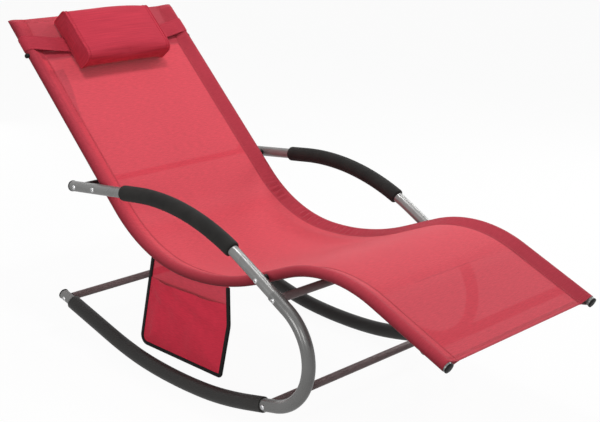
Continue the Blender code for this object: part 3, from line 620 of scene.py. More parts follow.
# Sling: one length of red woven mesh cloth, see-through in a single layer, hung between the rails.
# Each long side is lapped back under and sewn into a sleeve for its rail; both ends have a sewn hem.
# Marks tell its material where it is doubled, where it is drawn closed with painted sheen, and where painted
# shade lies.
cloth_radius = 0.0123
sling_from_head = 0.001
sling_from_foot = 0.0065
sling_depth = 0.015
sag_start, sag_end = 0.40, 1.075
sag_scale = 6.75
ridge_height = 0.0045
ridge_y = 0.180
ridge_half = 0.020
ridge_runs = (0.62, 0.74, 0.98, 1.075)
sheet_rise = 0.0010
seam_from_rail = 0.034
seam_lap = 0.004
seam_rise = 0.0012
row_pitch = 0.004
sheet_columns = 15
fine_band = 0.042
fine_step = 0.003
flank_columns = 11
round_columns = 28
lap_columns = 7
pucker_pitch = 0.0170
pucker_second_pitch = 0.019
pucker_second_share = 0.6
pucker_drift, pucker_drift_rate = 1.3, 9
pucker_height = 0.0019
pucker_from_seat = 0.09
pucker_reach = 0.17
pucker_from_rail = 0.019
pucker_half = 0.014
pucker_near_share = 0.2
single_red = (0.755, 0.073, 0.104)
# Doubled cloth is darker; this colour also stands for the painted shade marked on the sling.
doubled_and_shaded_red = (0.50, 0.052, 0.077)
# Lighter and pinker where the cloth is drawn closed over the knee: painted sheen.
closed_sheen_red = (0.765, 0.097, 0.126)
see_through = 0.979
weave_pitch = 0.0014
weave_gap = (0.86, 0.84, 0.84)
slub_stretch = (60.0, 420.0, 1.0)
ear_length = 0.016
ear_flat = 0.70
ear_reach = 0.003
lap_notch = (0.127, 0.178)
lap_notch_from_rail = 0.016
# Near side: the lap is drawn lighter towards the seat as painted light, and its outer flank darker as painted
# shade.
near_lap_lit_shares = (0.22, 0.05)
flank_near_shade_shares = (0.95, 0.70)
lap_fade = (0.30, 0.75)
flank_edge, flank_slope = 1.25, 0.8
# A darker line along each seam: painted shade in the seam's crease.
crease_shade_share = 0.45
crease_shade_reach = 0.003
# The foot hem is doubled cloth; its outermost few millimetres are drawn fully dark as painted shade on the
# edge.
hem_steps = (0.003, 0.0045, 0.015, 0.017)
hem_and_edge_shade_shares = (1.0, 0.30, 0.30, 0.0)
head_fold = 0.098
head_fold_near_share = 0.75
# Painted shadow of the head bar, where it lies close behind the cloth.
bar_shadow_runs = (0.103, 0.137)
# A darker patch beside the near lap below the pillow: painted shade.
near_patch_runs = (0.172, 0.225, 0.290, 0.340)
near_patch_reach = (0.064, 0.060, 0.044, 0.034)
near_patch_shade_share = 0.60
# Dark lines across the knee and at the seat's fold: painted shade.
knee_line = 1.455
knee_line_shade_share = 0.45
seat_line_shade_share = 0.30
line_width = 0.0018
knee_line_half = 0.125
knee_line_fade = 0.03
knee_closed = (0.61, 0.71, 1.42, 1.49)
# The single cloth over the shin and feet is drawn a little darker: painted shade.
shin_shade_share = 0.14
# The rounded undersides of the sleeves are drawn darker: painted shade.
under_turns = (-180, -120, 0, 140, 180)
under_marks = (1, 0, 0, 1, 1)
under_share = 0.42
edge_blur = 0.002


def cloth_coordinates(tree, down=None):
    """Sockets for the distance across and along the cloth, from its UVs or from a direction down it."""
    if down is None:
        flat = node(tree, "ShaderNodeUVMap").outputs["UV"]
        parts = node(tree, "ShaderNodeSeparateXYZ", Vector=flat)
        return parts.outputs["X"], parts.outputs["Y"]
    spot = place(tree)
    run = node(tree, "ShaderNodeVectorMath", [("operation", "DOT_PRODUCT")], i0=spot, i1=down)
    return node(tree, "ShaderNodeSeparateXYZ", Vector=spot).outputs["Y"], run.outputs["Value"]


def red_mesh_cloth(name, colour, alpha=1.0, down=None, doubled_and_shaded=None, slubs=0.10, stretch=slub_stretch):
    """Red mesh cloth: a fine plain weave with crosswise slubs, darker where doubled or in painted shade, with
    painted sheen where closed.
    """
    finish, tree, shader = new_finish(name, colour, roughness=0.7)
    shader.inputs["Alpha"].default_value = alpha
    shader.inputs["Specular IOR Level"].default_value = 0.06
    shader.inputs["Sheen Weight"].default_value = 0.12
    shader.inputs["Sheen Roughness"].default_value = 0.3
    across, along = cloth_coordinates(tree, down)
    flat = node(tree, "ShaderNodeCombineXYZ", X=across, Y=along).outputs[0]
    yarn = 2 * pi / (20 * weave_pitch)
    weft = node(tree, "ShaderNodeTexWave", [("bands_direction", "X")], Vector=flat, Scale=yarn).outputs["Fac"]
    warp = node(tree, "ShaderNodeTexWave", [("bands_direction", "Y")], Vector=flat, Scale=yarn).outputs["Fac"]
    over = node(tree, "ShaderNodeTexChecker", Vector=flat, Scale=1 / weave_pitch).outputs["Fac"]
    weave = node(tree, "ShaderNodeMix", i0=over, i2=weft, i3=warp).outputs[0]
    slub_grid = node(tree, "ShaderNodeVectorMath", [("operation", "MULTIPLY")], i0=flat, i1=stretch)
    slub = noise(tree, slub_grid.outputs[0], 1.0, 3.0)
    cloud = noise(tree, flat, 7.0, 2.0)
    tone = node(tree, "ShaderNodeMix", i0=0.15, i2=slub, i3=cloud).outputs[0]
    tone = spread(tree, tone, 0.0, 1.0)
    body = shades(tree, tone, tint(colour, 1 - slubs), tint(colour, 1 + slubs))
    # Marks: a lighter colour for painted sheen where closed; the doubled colour for two layers and for
    # painted shade; a darker one for painted shade on undersides.
    marked = []
    if doubled_and_shaded is not None:
        marked = [("closed", closed_sheen_red), ("layers", doubled_and_shaded), ("under", tint(doubled_and_shaded, under_share))]
    for mark, other in marked:
        share = node(tree, "ShaderNodeAttribute", [("attribute_name", mark)]).outputs["Fac"]
        mix = node(tree, "ShaderNodeMix", [("data_type", "RGBA")], i0=share)
        tree.links.new(body, mix.inputs[6])
        tree.links.new(shades(tree, tone, tint(other, 1 - slubs), tint(other, 1 + slubs)), mix.inputs[7])
        body = mix.outputs[2]
        if mark == "closed":
            tree.links.new(spread(tree, share, alpha, 1.0), shader.inputs["Alpha"])
    gaps = node(tree, "ShaderNodeMix", [("data_type", "RGBA"), ("blend_type", "MULTIPLY")], i0=1.0)
    tree.links.new(body, gaps.inputs[6])
    tree.links.new(shades(tree, weave, weave_gap, (1.0, 1.0, 1.0)), gaps.inputs[7])
    tree.links.new(gaps.outputs[2], shader.inputs["Base Color"])
    bump(tree, shader, weave, 0.35, 0.0004)
    return finish


def sheet_depth(run, y):
    """How far the sling hangs below the line between its two seams."""
    share = np.clip((run - sag_start) / (sag_end - sag_start), 0.0, 1.0)
    inner = rail_y - seam_from_rail
    ridge = np.exp(-((y - ridge_y) / ridge_half) ** 2) * np.interp(run, ridge_runs, (0, 1, 1, 0))
    sag = sag_scale * share ** 2 * (1 - share) * np.clip(1 - (y / inner) ** 2, 0.0, None)
    return sling_depth * sag - ridge_height * ridge


def sling_section():
    """Half of the sling's section from its middle to its lapped edge: (y, rise, on the upper side) points."""
    seam_y = rail_y - seam_from_rail
    half = [(y, sheet_rise, 1.0) for y in np.linspace(0.0, seam_y - fine_band - fine_step, sheet_columns)]
    half += [(y, sheet_rise, 1.0) for y in np.linspace(seam_y - fine_band, seam_y, sheet_columns)]
    leave = pi - atan2(sheet_rise, seam_from_rail) - acos(cloth_radius / seam_from_rail)
    off = (rail_y + cloth_radius * cos(leave), cloth_radius * sin(leave))
    for t in np.linspace(0.0, 1.0, flank_columns)[1:]:
        half.append((seam_y + t * (off[0] - seam_y), sheet_rise + t * (off[1] - sheet_rise), 1.0))
    for turn in np.linspace(leave, -leave, round_columns)[1:]:
        half.append((rail_y + cloth_radius * cos(turn), cloth_radius * sin(turn), 0.0))
    for t in np.linspace(0.0, 1.0, lap_columns)[1:]:
        half.append((off[0] + t * (seam_y - off[0]), t * (sheet_rise - seam_rise) - (1 - t) * off[1], 0.0))
    half.append((seam_y - seam_lap, sheet_rise - seam_rise, 0.0))
    return half


half_section = sling_section()
upper_y, upper_rise = np.array([(y, rise) for y, rise, upper in half_section if upper]).T
section = [(-y, n, t) for y, n, t in half_section[:0:-1]] + half_section
section_y, section_rise, _ = np.array(section).T
widths = np.concatenate(([0.0], np.cumsum(np.hypot(np.diff(section_y), np.diff(section_rise)))))
sling_start, sling_end = sling_from_head, rail_length - sling_from_foot
sling_runs = np.linspace(sling_start, sling_end, ceil((sling_end - sling_start) / row_pitch) + 1)
for line_run in (sag_end, knee_line):
    sling_runs = np.union1d(sling_runs, line_run + line_width * np.array((-1, 0, 1)))
sling_runs = np.union1d(sling_runs, sling_end - np.array(hem_steps))
rows = len(sling_runs)
seat_run = nearest_run(rail_line, "pocket_panel")


def sling_points(runs, y, rise):
    """Places on the cloth: runs down the rails, y across, rise over the line between the rails."""
    points, headings = on_line(rail_line, runs)
    past_rail = np.clip(1 - runs / ear_length, 0, 1)
    outer = np.clip((np.abs(y) - rail_y + cloth_radius) / (2 * cloth_radius), 0, 1)
    lift = rise * (1 - ear_flat * past_rail) - sheet_depth(runs, y)
    return np.stack((points[:, 0] - lift * np.sin(headings), y + np.sign(y) * ear_reach * past_rail * outer,
                     points[:, 1] + lift * np.cos(headings)), axis=1)


def pucker(runs, y):
    """Small gathers that the sewn sleeve makes on the hollow side of the seat's bend."""
    near_seat = np.exp(-((runs - seat_run + pucker_from_seat) / pucker_reach) ** 4)
    on_sleeve = np.exp(-((np.abs(y) - rail_y + pucker_from_rail) / pucker_half) ** 4)
    wave = np.sin(2 * pi * runs / pucker_pitch + pucker_drift * np.sin(pucker_drift_rate * runs))
    wave = wave + pucker_second_share * np.sin(2 * pi * runs / pucker_second_pitch)
    share = np.where(np.asarray(y) < 0, pucker_near_share, 1.0)
    return pucker_height * share * near_seat * on_sleeve * wave


lattice = []
for y, rise, upper in section:
    lattice.append(sling_points(sling_runs, y, rise + upper * pucker(sling_runs, y)))
lattice = np.stack(lattice, axis=1)
columns = len(section)
sling_skin = lattice.reshape(-1, 3)
sling_faces = []
for r in range(rows - 1):
    for c in range(columns - 1):
        a = r * columns + c
        sling_faces.append((a, a + columns, a + columns + 1, a + 1))
sling_uv = np.stack(np.meshgrid(widths, sling_runs), axis=2).reshape(-1, 2)


def lay_out(made, flat, **marks):
    """Give a cloth piece its flat layout in metres and the marks that its material reads."""
    mesh = made.data
    chart = mesh.uv_layers.new(name="flat")
    corners = np.zeros(len(mesh.loops), int)
    mesh.loops.foreach_get("vertex_index", corners)
    chart.data.foreach_set("uv", np.asarray(flat)[corners].astype(np.float32).ravel())
    for name, values in marks.items():
        mark = mesh.attributes.new(name, "FLOAT", "POINT")
        mark.data.foreach_set("value", np.asarray(values).astype(np.float32).ravel())


sling_cloth = red_mesh_cloth("red sling cloth", single_red, see_through, doubled_and_shaded=doubled_and_shaded_red)
sling = piece("red_sling", sling_skin, sling_faces, sling_cloth, "chair", closed=False)


def ramp(value):
    """0 below a line and 1 above it, over the blur of a fold's edge."""
    return np.clip(value / edge_blur + 0.5, 0, 1)


def within(value, low, high):
    """1 between two lines and 0 outside."""
    return ramp(value - low) * ramp(high - value)


from_head, from_rail = sling_runs[:, None], rail_y - np.abs(section_y)[None, :]
far_side = section_y[None, :] > 0
# Near lap lighter towards the seat and near flank darker: painted light and painted shade.
near_lap_lit_share = np.interp(from_head, lap_fade, near_lap_lit_shares)
flank_shade_share = np.interp(from_head, lap_fade, flank_near_shade_shares)
flank_shade = np.clip(flank_edge - flank_slope * from_rail / cloth_radius, 0, 1)
near_lap_light_and_shade = near_lap_lit_share + flank_shade * (flank_shade_share - near_lap_lit_share)
lap = ramp(seam_from_rail + seam_lap - from_rail) * np.where(far_side, 1.0, near_lap_light_and_shade)
lap = lap * (1 - ~far_side * within(from_head, *lap_notch) * ramp(from_rail - lap_notch_from_rail))
# Painted shade along the seams.
crease_shade = crease_shade_share * within(from_rail, seam_from_rail - crease_shade_reach, seam_from_rail + crease_shade_reach)
fold = ramp(head_fold - from_head) * np.where(far_side, 1.0, head_fold_near_share)
# Doubled hem, its very edge in painted shade.
hem_and_edge_shade = np.interp(sling_end - from_head, hem_steps, hem_and_edge_shade_shares)
# Painted shadow of the head bar.
bar_shadow = within(from_head, *bar_shadow_runs) * ramp(from_rail - lap_notch_from_rail)
# Painted shade patch by the near lap.
near_patch_shade = near_patch_shade_share * ramp(np.interp(from_head, near_patch_runs, near_patch_reach) - from_rail) * ~far_side
near_patch_shade = near_patch_shade * within(from_head, near_patch_runs[0], near_patch_runs[-1]) * ramp(from_rail - lap_notch_from_rail)
# Painted shade lines across the knee and the seat's fold.
knee_line_shade = knee_line_shade_share * np.exp(-((from_head - knee_line) / line_width) ** 2)
knee_line_shade = knee_line_shade * np.clip((knee_line_half - np.abs(section_y)) / knee_line_fade, 0, 1)
seat_line_shade = seat_line_shade_share * np.exp(-((from_head - sag_end) / line_width) ** 2)
# Painted shade over the shin.
shin_shade = shin_shade_share * np.interp(from_head, knee_closed[2:], (0, 1))
doubled_and_shaded = [mark + 0 * lap for mark in (lap, crease_shade, fold, hem_and_edge_shade, bar_shadow, near_patch_shade, shin_shade, knee_line_shade, seat_line_shade)]
# Over the knee the cloth is drawn closed, with a lighter painted sheen.
over_knee = np.interp(from_head, knee_closed, (0, 1, 1, 0)) + 0 * lap
# Painted shade on the sleeves' undersides.
round_turn = np.degrees(np.arctan2(np.abs(section_y) - rail_y, section_rise))
under = np.interp(round_turn, under_turns, under_marks)[None, :] + 0 * lap
lay_out(sling, sling_uv, layers=np.maximum.reduce(doubled_and_shaded), closed=over_knee, under=under)
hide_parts("sling")

# Sewing on the sling: two rows of thread along each sleeve's lap and across both hems.
# The thread is polyester in a darker red, pulled slightly into the cloth.
stitch_length = 0.0040
stitch_pitch = 0.0050
stitch_radius = 0.00055
stitch_shape = ((0.0, 0.35), (0.25, 1.0), (0.75, 1.0), (1.0, 0.35))
stitch_proud = 0.4
stitch_flat = 0.7
stitch_sides = 6
seam_row_offsets = (-0.0016, 0.0016)
hem_row_offsets = (0.0095, 0.0130)
hem_places = 120
thread_dark = (0.42, 0.034, 0.050)
thread_light = (0.58, 0.050, 0.070)


def stitch_row(points, normals):
    """Small rounded stitches along a row of places; each is a flat six-sided spindle."""
    runs = np.concatenate(([0.0], np.cumsum(np.linalg.norm(np.diff(points, axis=0), axis=1))))
    skin, faces = [], []

    def at(run, table):
        return np.array([np.interp(run, runs, table[:, k]) for k in range(3)])

    for start in np.arange(stitch_pitch / 2, runs[-1] - stitch_length, stitch_pitch):
        a, b, up = at(start, points), at(start + stitch_length, points), at(start, normals)
        up = up / np.linalg.norm(up)
        side = np.cross(b - a, up)
        side = side / np.linalg.norm(side)
        first = len(skin)
        for share, size in stitch_shape:
            centre = a + share * (b - a) + stitch_proud * stitch_radius * up
            for turn in np.arange(stitch_sides) * 2 * pi / stitch_sides:
                skin.append(centre + stitch_radius * size * (cos(turn) * side + stitch_flat * sin(turn) * up))
        faces += [tuple(first + k for k in face) for face in ring_faces(len(stitch_shape), stitch_sides)]
    return skin, faces


def sewing(name, rows_of_points, finish, body):
    """One piece that holds several rows of stitches."""
    skin, faces = [], []
    for points, normals in rows_of_points:
        more, more_faces = stitch_row(points, normals)
        faces += [tuple(len(skin) + k for k in face) for face in more_faces]
        skin += more
    return piece(name, skin, faces, finish, body)


def over_sling(runs, y):
    """Places on the sling's upper side, and its upward directions."""
    points = sling_points(runs, y, np.interp(np.abs(y), upper_y, upper_rise) + pucker(runs, y))
    headings = on_line(rail_line, runs)[1]
    return points, np.stack((-np.sin(headings), 0 * headings, np.cos(headings)), axis=1)


def down_the_sling(y):
    """A row of places down the sling at one distance across."""
    return over_sling(sling_runs, np.full(rows, y))


def across_the_sling(run):
    """A row of places across the sling at one distance down it."""
    ys = np.linspace(-upper_y[-1], upper_y[-1], hem_places)
    return over_sling(np.full(len(ys), run), ys)


red_thread = mottled("dark red thread", thread_dark, thread_light, (1800.0, 1.0), roughness=0.6)
seam_rows = [down_the_sling(hand * (rail_y - seam_from_rail - off))
             for hand in hands.values() for off in seam_row_offsets]
hem_rows = [across_the_sling(sling_end - off) for off in hem_row_offsets]
hem_rows += [across_the_sling(sling_start + off) for off in hem_row_offsets]
sling_thread = sewing("sling_thread", seam_rows + hem_rows, red_thread, "chair")

# Pillow strap: a flat band of the same cloth, folded and sewn double, looped round both rails.
# It carries the pillow and slides along the back with it; behind the rails it is gathered narrower.
pillow_length = 0.270
strap_width = 0.046
strap_from_head = 0.059
strap_droop = 0.026
strap_stand = 0.001
strap_gap = 0.0007
strap_thick = 0.0014
strap_dip = 0.007
strap_gather = 0.115
strap_stand_bias = 1.6
strap_front_places = 81
strap_back_places = 41
strap_turn_places = 17
strap_red = (0.515, 0.046, 0.073)
head_point, head_heading = (v[0] for v in on_line(rail_line, np.array([0.0])))
down = Vector((cos(head_heading), 0, sin(head_heading)))
lift = Vector((-sin(head_heading), 0, cos(head_heading)))
head = Vector((head_point[0], 0, head_point[1]))


def strap_loop():
    """Strap section round both rails: (y, rise, outward y, outward rise) places."""
    radius = cloth_radius + strap_gap
    places = [(y, radius, 0.0, 1.0) for y in np.linspace(-rail_y, rail_y, strap_front_places)]
    for turn in np.linspace(pi / 2, -pi / 2, strap_turn_places)[1:-1]:
        places.append((rail_y + radius * cos(turn), radius * sin(turn), cos(turn), sin(turn)))
    places += [(y, -radius, 0.0, -1.0) for y in np.linspace(rail_y, -rail_y, strap_back_places)]
    for turn in np.linspace(-pi / 2, -3 * pi / 2, strap_turn_places)[1:-1]:
        places.append((-rail_y + radius * cos(turn), radius * sin(turn), cos(turn), sin(turn)))
    return places


def loop_faces(rings, around):
    """Faces of a round skin whose last ring meets its first."""
    last = (rings - 1) * around
    faces = ring_faces(rings, around, capped=False)
    return faces + [(last + k, last + (k + 1) % around, (k + 1) % around, k) for k in range(around)]


strap_cloth = red_mesh_cloth("red strap cloth", strap_red, down=tuple(down))
strap_edges = [(0.0, 0.35), (0.0015, 0.9), (0.005, 1.0), (0.006, 0.75), (0.007, 1.0)]
strap_edges += [(strap_width - a, b) for a, b in strap_edges[::-1]]
skin = []
for y, rise, out_y, out_rise in strap_loop():
    ring = [(a, strap_thick * b) for a, b in strap_edges] + [(a, 0.0) for a, _ in strap_edges[::-1]]
    droop = strap_droop * max(1 - (y / rail_y) ** 2, 0.0) * max(out_rise, 0.0)
    to_rail = min(max((abs(y) - pillow_length / 2) / (rail_y - pillow_length / 2), 0.0), 1.0)
    stand = strap_stand * sin(pi * to_rail ** strap_stand_bias) * max(out_rise, 0.0)
    stand_off = rise - strap_dip * (1 - to_rail) * max(out_rise, 0.0)
    gathered = 1 - strap_gather * (1 - max(out_rise, 0.0))
    for along, proud in ring:
        off = stand * (along / strap_width) ** 2
        run = strap_from_head + droop + gathered * along
        skin.append(head + down * run + lift * (stand_off + off + proud * out_rise)
                    + Vector((0, y + proud * out_y, 0)))
around = 2 * len(strap_edges)
faces = loop_faces(len(skin) // around, around)
strap = piece("red_strap", skin, faces, strap_cloth, "head_pillow")
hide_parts("pillow_strap")

# Head pillow: a firm boxed cushion in the sling's cloth, filled with wadding.
# One length of cloth wraps front, foot, back and top; a panel that bulges a little is sewn into each end.
pillow_height = 0.155
pillow_depth = 0.0575
pillow_back_rise = 0.0045
pillow_skew = 0.008
pillow_from_head = 0.032
pillow_shift = -0.006
pillow_crown = 0.005
pillow_bow_at = (-1.0, 0.0, 0.6, 1.0)
pillow_bow = (0.0025, 0.006, 0.003, -0.004)
pillow_low_round = 0.022
pillow_top_round = 0.012
pillow_back_round = 0.004
pillow_end_bulge = 0.006
pillow_panel_inset = 0.0015
pillow_red = (0.58, 0.047, 0.077)
pillow_slubs = 0.16
pillow_grain = (9.0, 480.0, 1.0)
# The end panels are drawn darker than the wrapped cloth: painted shade.
end_panel_shade = 0.86
pillow_around = 72
pillow_stations = 64
pillow_pressure = 3.0
pillow_cap = 0.004
pillow_stiffness = 15
pillow_steps = 20
corner_places = 9
panel_shares = (0.08, 0.25, 0.45, 0.65, 0.80, 0.91, 0.97)


def pillow_section():
    """Outline of the wrapped cloth seen from the pillow's end: x down the back, z out of the sling."""
    half_x, half_z = pillow_height / 2, pillow_depth / 2
    corners = [(half_x, half_z), (-half_x, half_z), (-half_x, -half_z), (half_x, -half_z)]
    radii = (pillow_low_round, pillow_top_round, pillow_back_round, pillow_back_round)
    points = []
    for quarter, ((x, z), radius) in enumerate(zip(corners, radii)):
        centre = np.array((x - np.sign(x) * radius, z - np.sign(z) * radius))
        for turn in np.linspace(quarter * pi / 2, (quarter + 1) * pi / 2, corner_places):
            points.append(centre + radius * np.array((cos(turn), sin(turn))))
    points = np.array(points + points[:1])
    points[:, 0] -= pillow_skew * (half_z - points[:, 1]) / pillow_depth
    runs = np.linspace(0, runs_of(points)[-1], pillow_around + 1)[:-1]
    return on_line(points, runs)[0]


def boxed_cushion():
    """Starting skin of the pillow in its own axes, ring after ring from one end panel to the other."""
    outline_x, outline_z = pillow_section().T
    seam_y = pillow_length / 2 - pillow_panel_inset
    rings = [(-seam_y - pillow_end_bulge * (1 - share ** 2), share) for share in panel_shares]
    rings += [(y, 1.0) for y in np.linspace(-seam_y, seam_y, pillow_stations)]
    rings += [(-y, share) for y, share in rings[len(panel_shares) - 1::-1]]
    bow = np.polyfit(pillow_bow_at, pillow_bow, 3)
    upper = np.clip(-outline_x / (pillow_height / 2), 0.0, 1.0)
    skin = []
    for y, share in rings:
        risen = outline_x - upper * np.polyval(bow, np.clip(y / seam_y, -1.0, 1.0))
        crown = pillow_crown * (1 - (outline_x / (pillow_height / 2)) ** 2) * (1 - (y / seam_y) ** 4)
        crown = np.maximum(crown, 0.0) * (outline_z > 0) * (share == 1.0)
        skin.append(np.stack((share * risen, np.full(pillow_around, y), share * outline_z + crown), axis=1))
    return np.array(skin)


def settled_cushion(name):
    """The pillow swollen by its filling: its end seams are held, its back stays flat on the strap."""
    start = boxed_cushion()
    cushion = piece(name, start.reshape(-1, 3), ring_faces(len(start), pillow_around), None)
    held = cushion.vertex_groups.new(name="sewn")
    first, last = len(panel_shares), len(start) - len(panel_shares) - 1
    sewn = [ring * pillow_around + k for ring in (first, last) for k in range(pillow_around)]
    held.add(sewn, 1.0, "REPLACE")
    cloth = cushion.modifiers.new("filling", "CLOTH")
    cloth.settings.use_pressure = True
    cloth.settings.uniform_pressure_force = pillow_pressure
    cloth.settings.effector_weights.gravity = 0.0
    cloth.settings.vertex_group_mass = "sewn"
    cloth.settings.tension_stiffness = pillow_stiffness
    cloth.settings.compression_stiffness = pillow_stiffness
    scene = bpy.context.scene
    for step in range(1, pillow_steps + 1):
        scene.frame_set(step)
    swollen = cushion.evaluated_get(bpy.context.evaluated_depsgraph_get()).data
    moved = np.array([v.co for v in swollen.vertices]).reshape(start.shape) - start
    reach = np.linalg.norm(moved, axis=2)
    moved *= (np.minimum(reach, pillow_cap) / np.maximum(reach, 1e-9))[..., None]
    cushion.modifiers.clear()
    scene.frame_set(1)
    return cushion, start + moved


pillow, pillow_rings = settled_cushion("red_pillow")
pillow_rings[..., 2] = np.maximum(pillow_rings[..., 2], -pillow_depth / 2)
pillow_middle = head + down * (pillow_from_head + pillow_height / 2)
pillow_middle += lift * (pillow_back_rise + pillow_depth / 2)
pillow_middle.y = pillow_shift


def on_pillow(places):
    """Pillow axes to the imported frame."""
    places = np.asarray(places).reshape(-1, 3)
    return np.array(pillow_middle) + places @ np.array((down, (0.0, 1.0, 0.0), lift))


pillow.data.vertices.foreach_set("co", on_pillow(pillow_rings).astype(np.float32).ravel())
pillow.data.update()
pillow_cloth = red_mesh_cloth("red pillow cloth", pillow_red, down=tuple(down), slubs=pillow_slubs,
                              stretch=pillow_grain)
pillow.data.materials.clear()
pillow.data.materials.append(pillow_cloth)
# The end panels' cloth is drawn darker: painted shade.
shaded_end_cloth = red_mesh_cloth("red pillow end", tint(pillow_red, end_panel_shade), down=tuple(down),
                             stretch=pillow_grain)
pillow.data.materials.append(shaded_end_cloth)
for face in pillow.data.polygons:
    if abs(face.center.y - pillow_shift) > pillow_length / 2 - pillow_panel_inset:
        face.material_index = 1
smooth = pillow.modifiers.new("even surface", "SUBSURF")
smooth.levels = 1
smooth.render_levels = 1
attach(pillow, "head_pillow")
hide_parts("pillow")

# Pillow seams: where each end panel meets the wrapped cloth, the two edges are turned in and sewn.
# The turned edges stand up as a rounded ridge all round the panel, with a lower ridge beside it.
ridge_radius = 0.0018
low_ridge_radius = 0.0012
low_ridge_station = 2
ridge_sides = 8


def cord_loop(places, radius):
    """Skin and faces of a thin closed ridge along a loop round the pillow."""
    ahead = np.roll(places, -1, axis=0) - np.roll(places, 1, axis=0)
    ahead /= np.linalg.norm(ahead, axis=1)[:, None]
    outward = np.stack((ahead[:, 2], 0 * ahead[:, 1], -ahead[:, 0]), axis=1)
    outward /= np.linalg.norm(outward, axis=1)[:, None]
    sideways = np.cross(ahead, outward)
    sideways /= np.linalg.norm(sideways, axis=1)[:, None]
    turns = (np.arange(ridge_sides) * 2 * pi / ridge_sides)[None, :, None]
    skin = places[:, None] + radius * (np.cos(turns) * sideways[:, None] + np.sin(turns) * outward[:, None])
    return skin.reshape(-1, 3), loop_faces(len(places), ridge_sides)


for word, hand in hands.items():
    seam = len(panel_shares) if hand < 0 else len(pillow_rings) - len(panel_shares) - 1
    for kind, step, radius in (("seam", 0, ridge_radius), ("fold", low_ridge_station, low_ridge_radius)):
        skin, faces = cord_loop(pillow_rings[seam - hand * step], radius)
        ridge = piece("pillow_%s_%s" % (kind, word), on_pillow(skin), faces, pillow_cloth, "head_pillow")

# Side pocket: a red back panel and a roomier front panel in the sling's cloth, hung from the near sleeve.
# The front panel stops at a hemmed mouth, and a black tape binds both panels down the sides and foot.
pocket_rear_top = -0.162
pocket_front_top = 0.1085
pocket_rear_low = (-0.2105, 0.0455)
pocket_front_low = (0.0847, 0.0505)
pocket_swell = (0.1125, 0.188)
pocket_corners = (0.020, 0.012, 0.060)
pocket_mouth = (0.2295, 0.2385)
pocket_bulge = 0.013
pocket_bulge_reach = 0.090
pocket_crease = 0.0016
crease_x, crease_z = 42, 70
crease_bend, crease_bend_z = 2.0, 30
second_crease = 0.7
second_crease_x, second_crease_z = 90, -35
pocket_drop = 0.0128
pocket_cell = 0.006
binding_lip = 0.0080
binding_web = 0.0020
binding_half = 0.0030
binding_edge = 0.0008
binding_end_gap = 0.003
binding_stations = 220
panel_off = 0.0009
panel_layers = 0.75
pouch_red = (0.82, 0.048, 0.090)
tape_dark = (0.008, 0.0075, 0.0075)
tape_light = (0.020, 0.019, 0.019)
sleeve_places = 3000
corner_steps = 12


def under_sleeve(x):
    """Height of the sleeve's underside at x in the dip of the seat."""
    fine = np.linspace(0, rail_length, sleeve_places)
    points, headings = on_line(rail_line, fine)
    return np.interp(x, points[:, 0], points[:, 1] - pocket_drop / np.cos(headings))


def rounded(corners, radii):
    """A line through corners, each inner corner rounded to its radius."""
    points = [corners[0]]
    for before, corner, after, radius in zip(corners, corners[1:], corners[2:], radii):
        to_before = (Vector(before) - Vector(corner)).normalized()
        to_after = (Vector(after) - Vector(corner)).normalized()
        half = to_before.angle(to_after) / 2
        centre = Vector(corner) + (to_before + to_after).normalized() * radius / sin(half)
        start = Vector(corner) + to_before * radius / tan(half) - centre
        end = Vector(corner) + to_after * radius / tan(half) - centre
        for k in range(corner_steps + 1):
            points.append(tuple(centre + start.lerp(end, k / corner_steps).normalized() * radius))
    return points + [corners[-1]]


outline = rounded([
    (pocket_rear_top, float(under_sleeve(pocket_rear_top))),
    pocket_rear_low,
    pocket_front_low,
    pocket_swell,
    (pocket_front_top, float(under_sleeve(pocket_front_top))),
], pocket_corners)
outline = np.array(outline)
rear_edge = outline[:corner_steps // 2 + 2]
foot_edge = outline[corner_steps // 2 + 1:corner_steps + corner_steps // 2 + 3]
front_edge = outline[corner_steps + corner_steps // 2 + 2:][::-1]


def below(edge, height):
    """The stretch of a falling edge under a height."""
    k = int(np.argmax(edge[1:, 1] <= height))
    a, b = edge[k], edge[k + 1]
    t = (a[1] - height) / (a[1] - b[1])
    return np.vstack(([a + t * (b - a)], edge[k + 1:]))


def share_of(edge, shares):
    """Points at shares of an edge's length."""
    return on_line(edge, np.asarray(shares) * runs_of(edge)[-1])[0]


def pocket_grid(mouth=None):
    """Places (x, z) over a panel between its rear, foot and front edges, row by row from the top."""
    rear, front = rear_edge, front_edge
    if mouth:
        rear, front = below(rear, mouth[0]), below(front, mouth[1])
    s = np.linspace(0, 1, ceil((front[0, 0] - rear[0, 0]) / pocket_cell) + 1)
    t = np.linspace(0, 1, ceil(runs_of(rear)[-1] / pocket_cell) + 1)
    top_x = rear[0, 0] + s * (front[0, 0] - rear[0, 0])
    top_z = mouth[0] + s * (mouth[1] - mouth[0]) if mouth else under_sleeve(top_x)
    top = np.stack((top_x, top_z), axis=1)
    foot = share_of(foot_edge, s)
    left, right = share_of(rear, t), share_of(front, t)
    s, t = s[None, :, None], t[:, None, None]
    grid = (1 - s) * left[:, None] + s * right[:, None] + (1 - t) * top[None] + t * foot[None]
    grid -= (1 - t) * ((1 - s) * top[0] + s * top[-1]) + t * ((1 - s) * foot[0] + s * foot[-1])
    return grid


def off_edge(spots):
    """Distance from places to the pocket's bound edges."""
    gaps = np.full(spots.shape[:-1], np.inf)
    for a, b in zip(outline, outline[1:]):
        run = b - a
        t = np.clip(((spots - a) @ run) / (run @ run), 0, 1)
        gaps = np.minimum(gaps, np.linalg.norm(a + t[..., None] * run - spots, axis=-1))
    return gaps


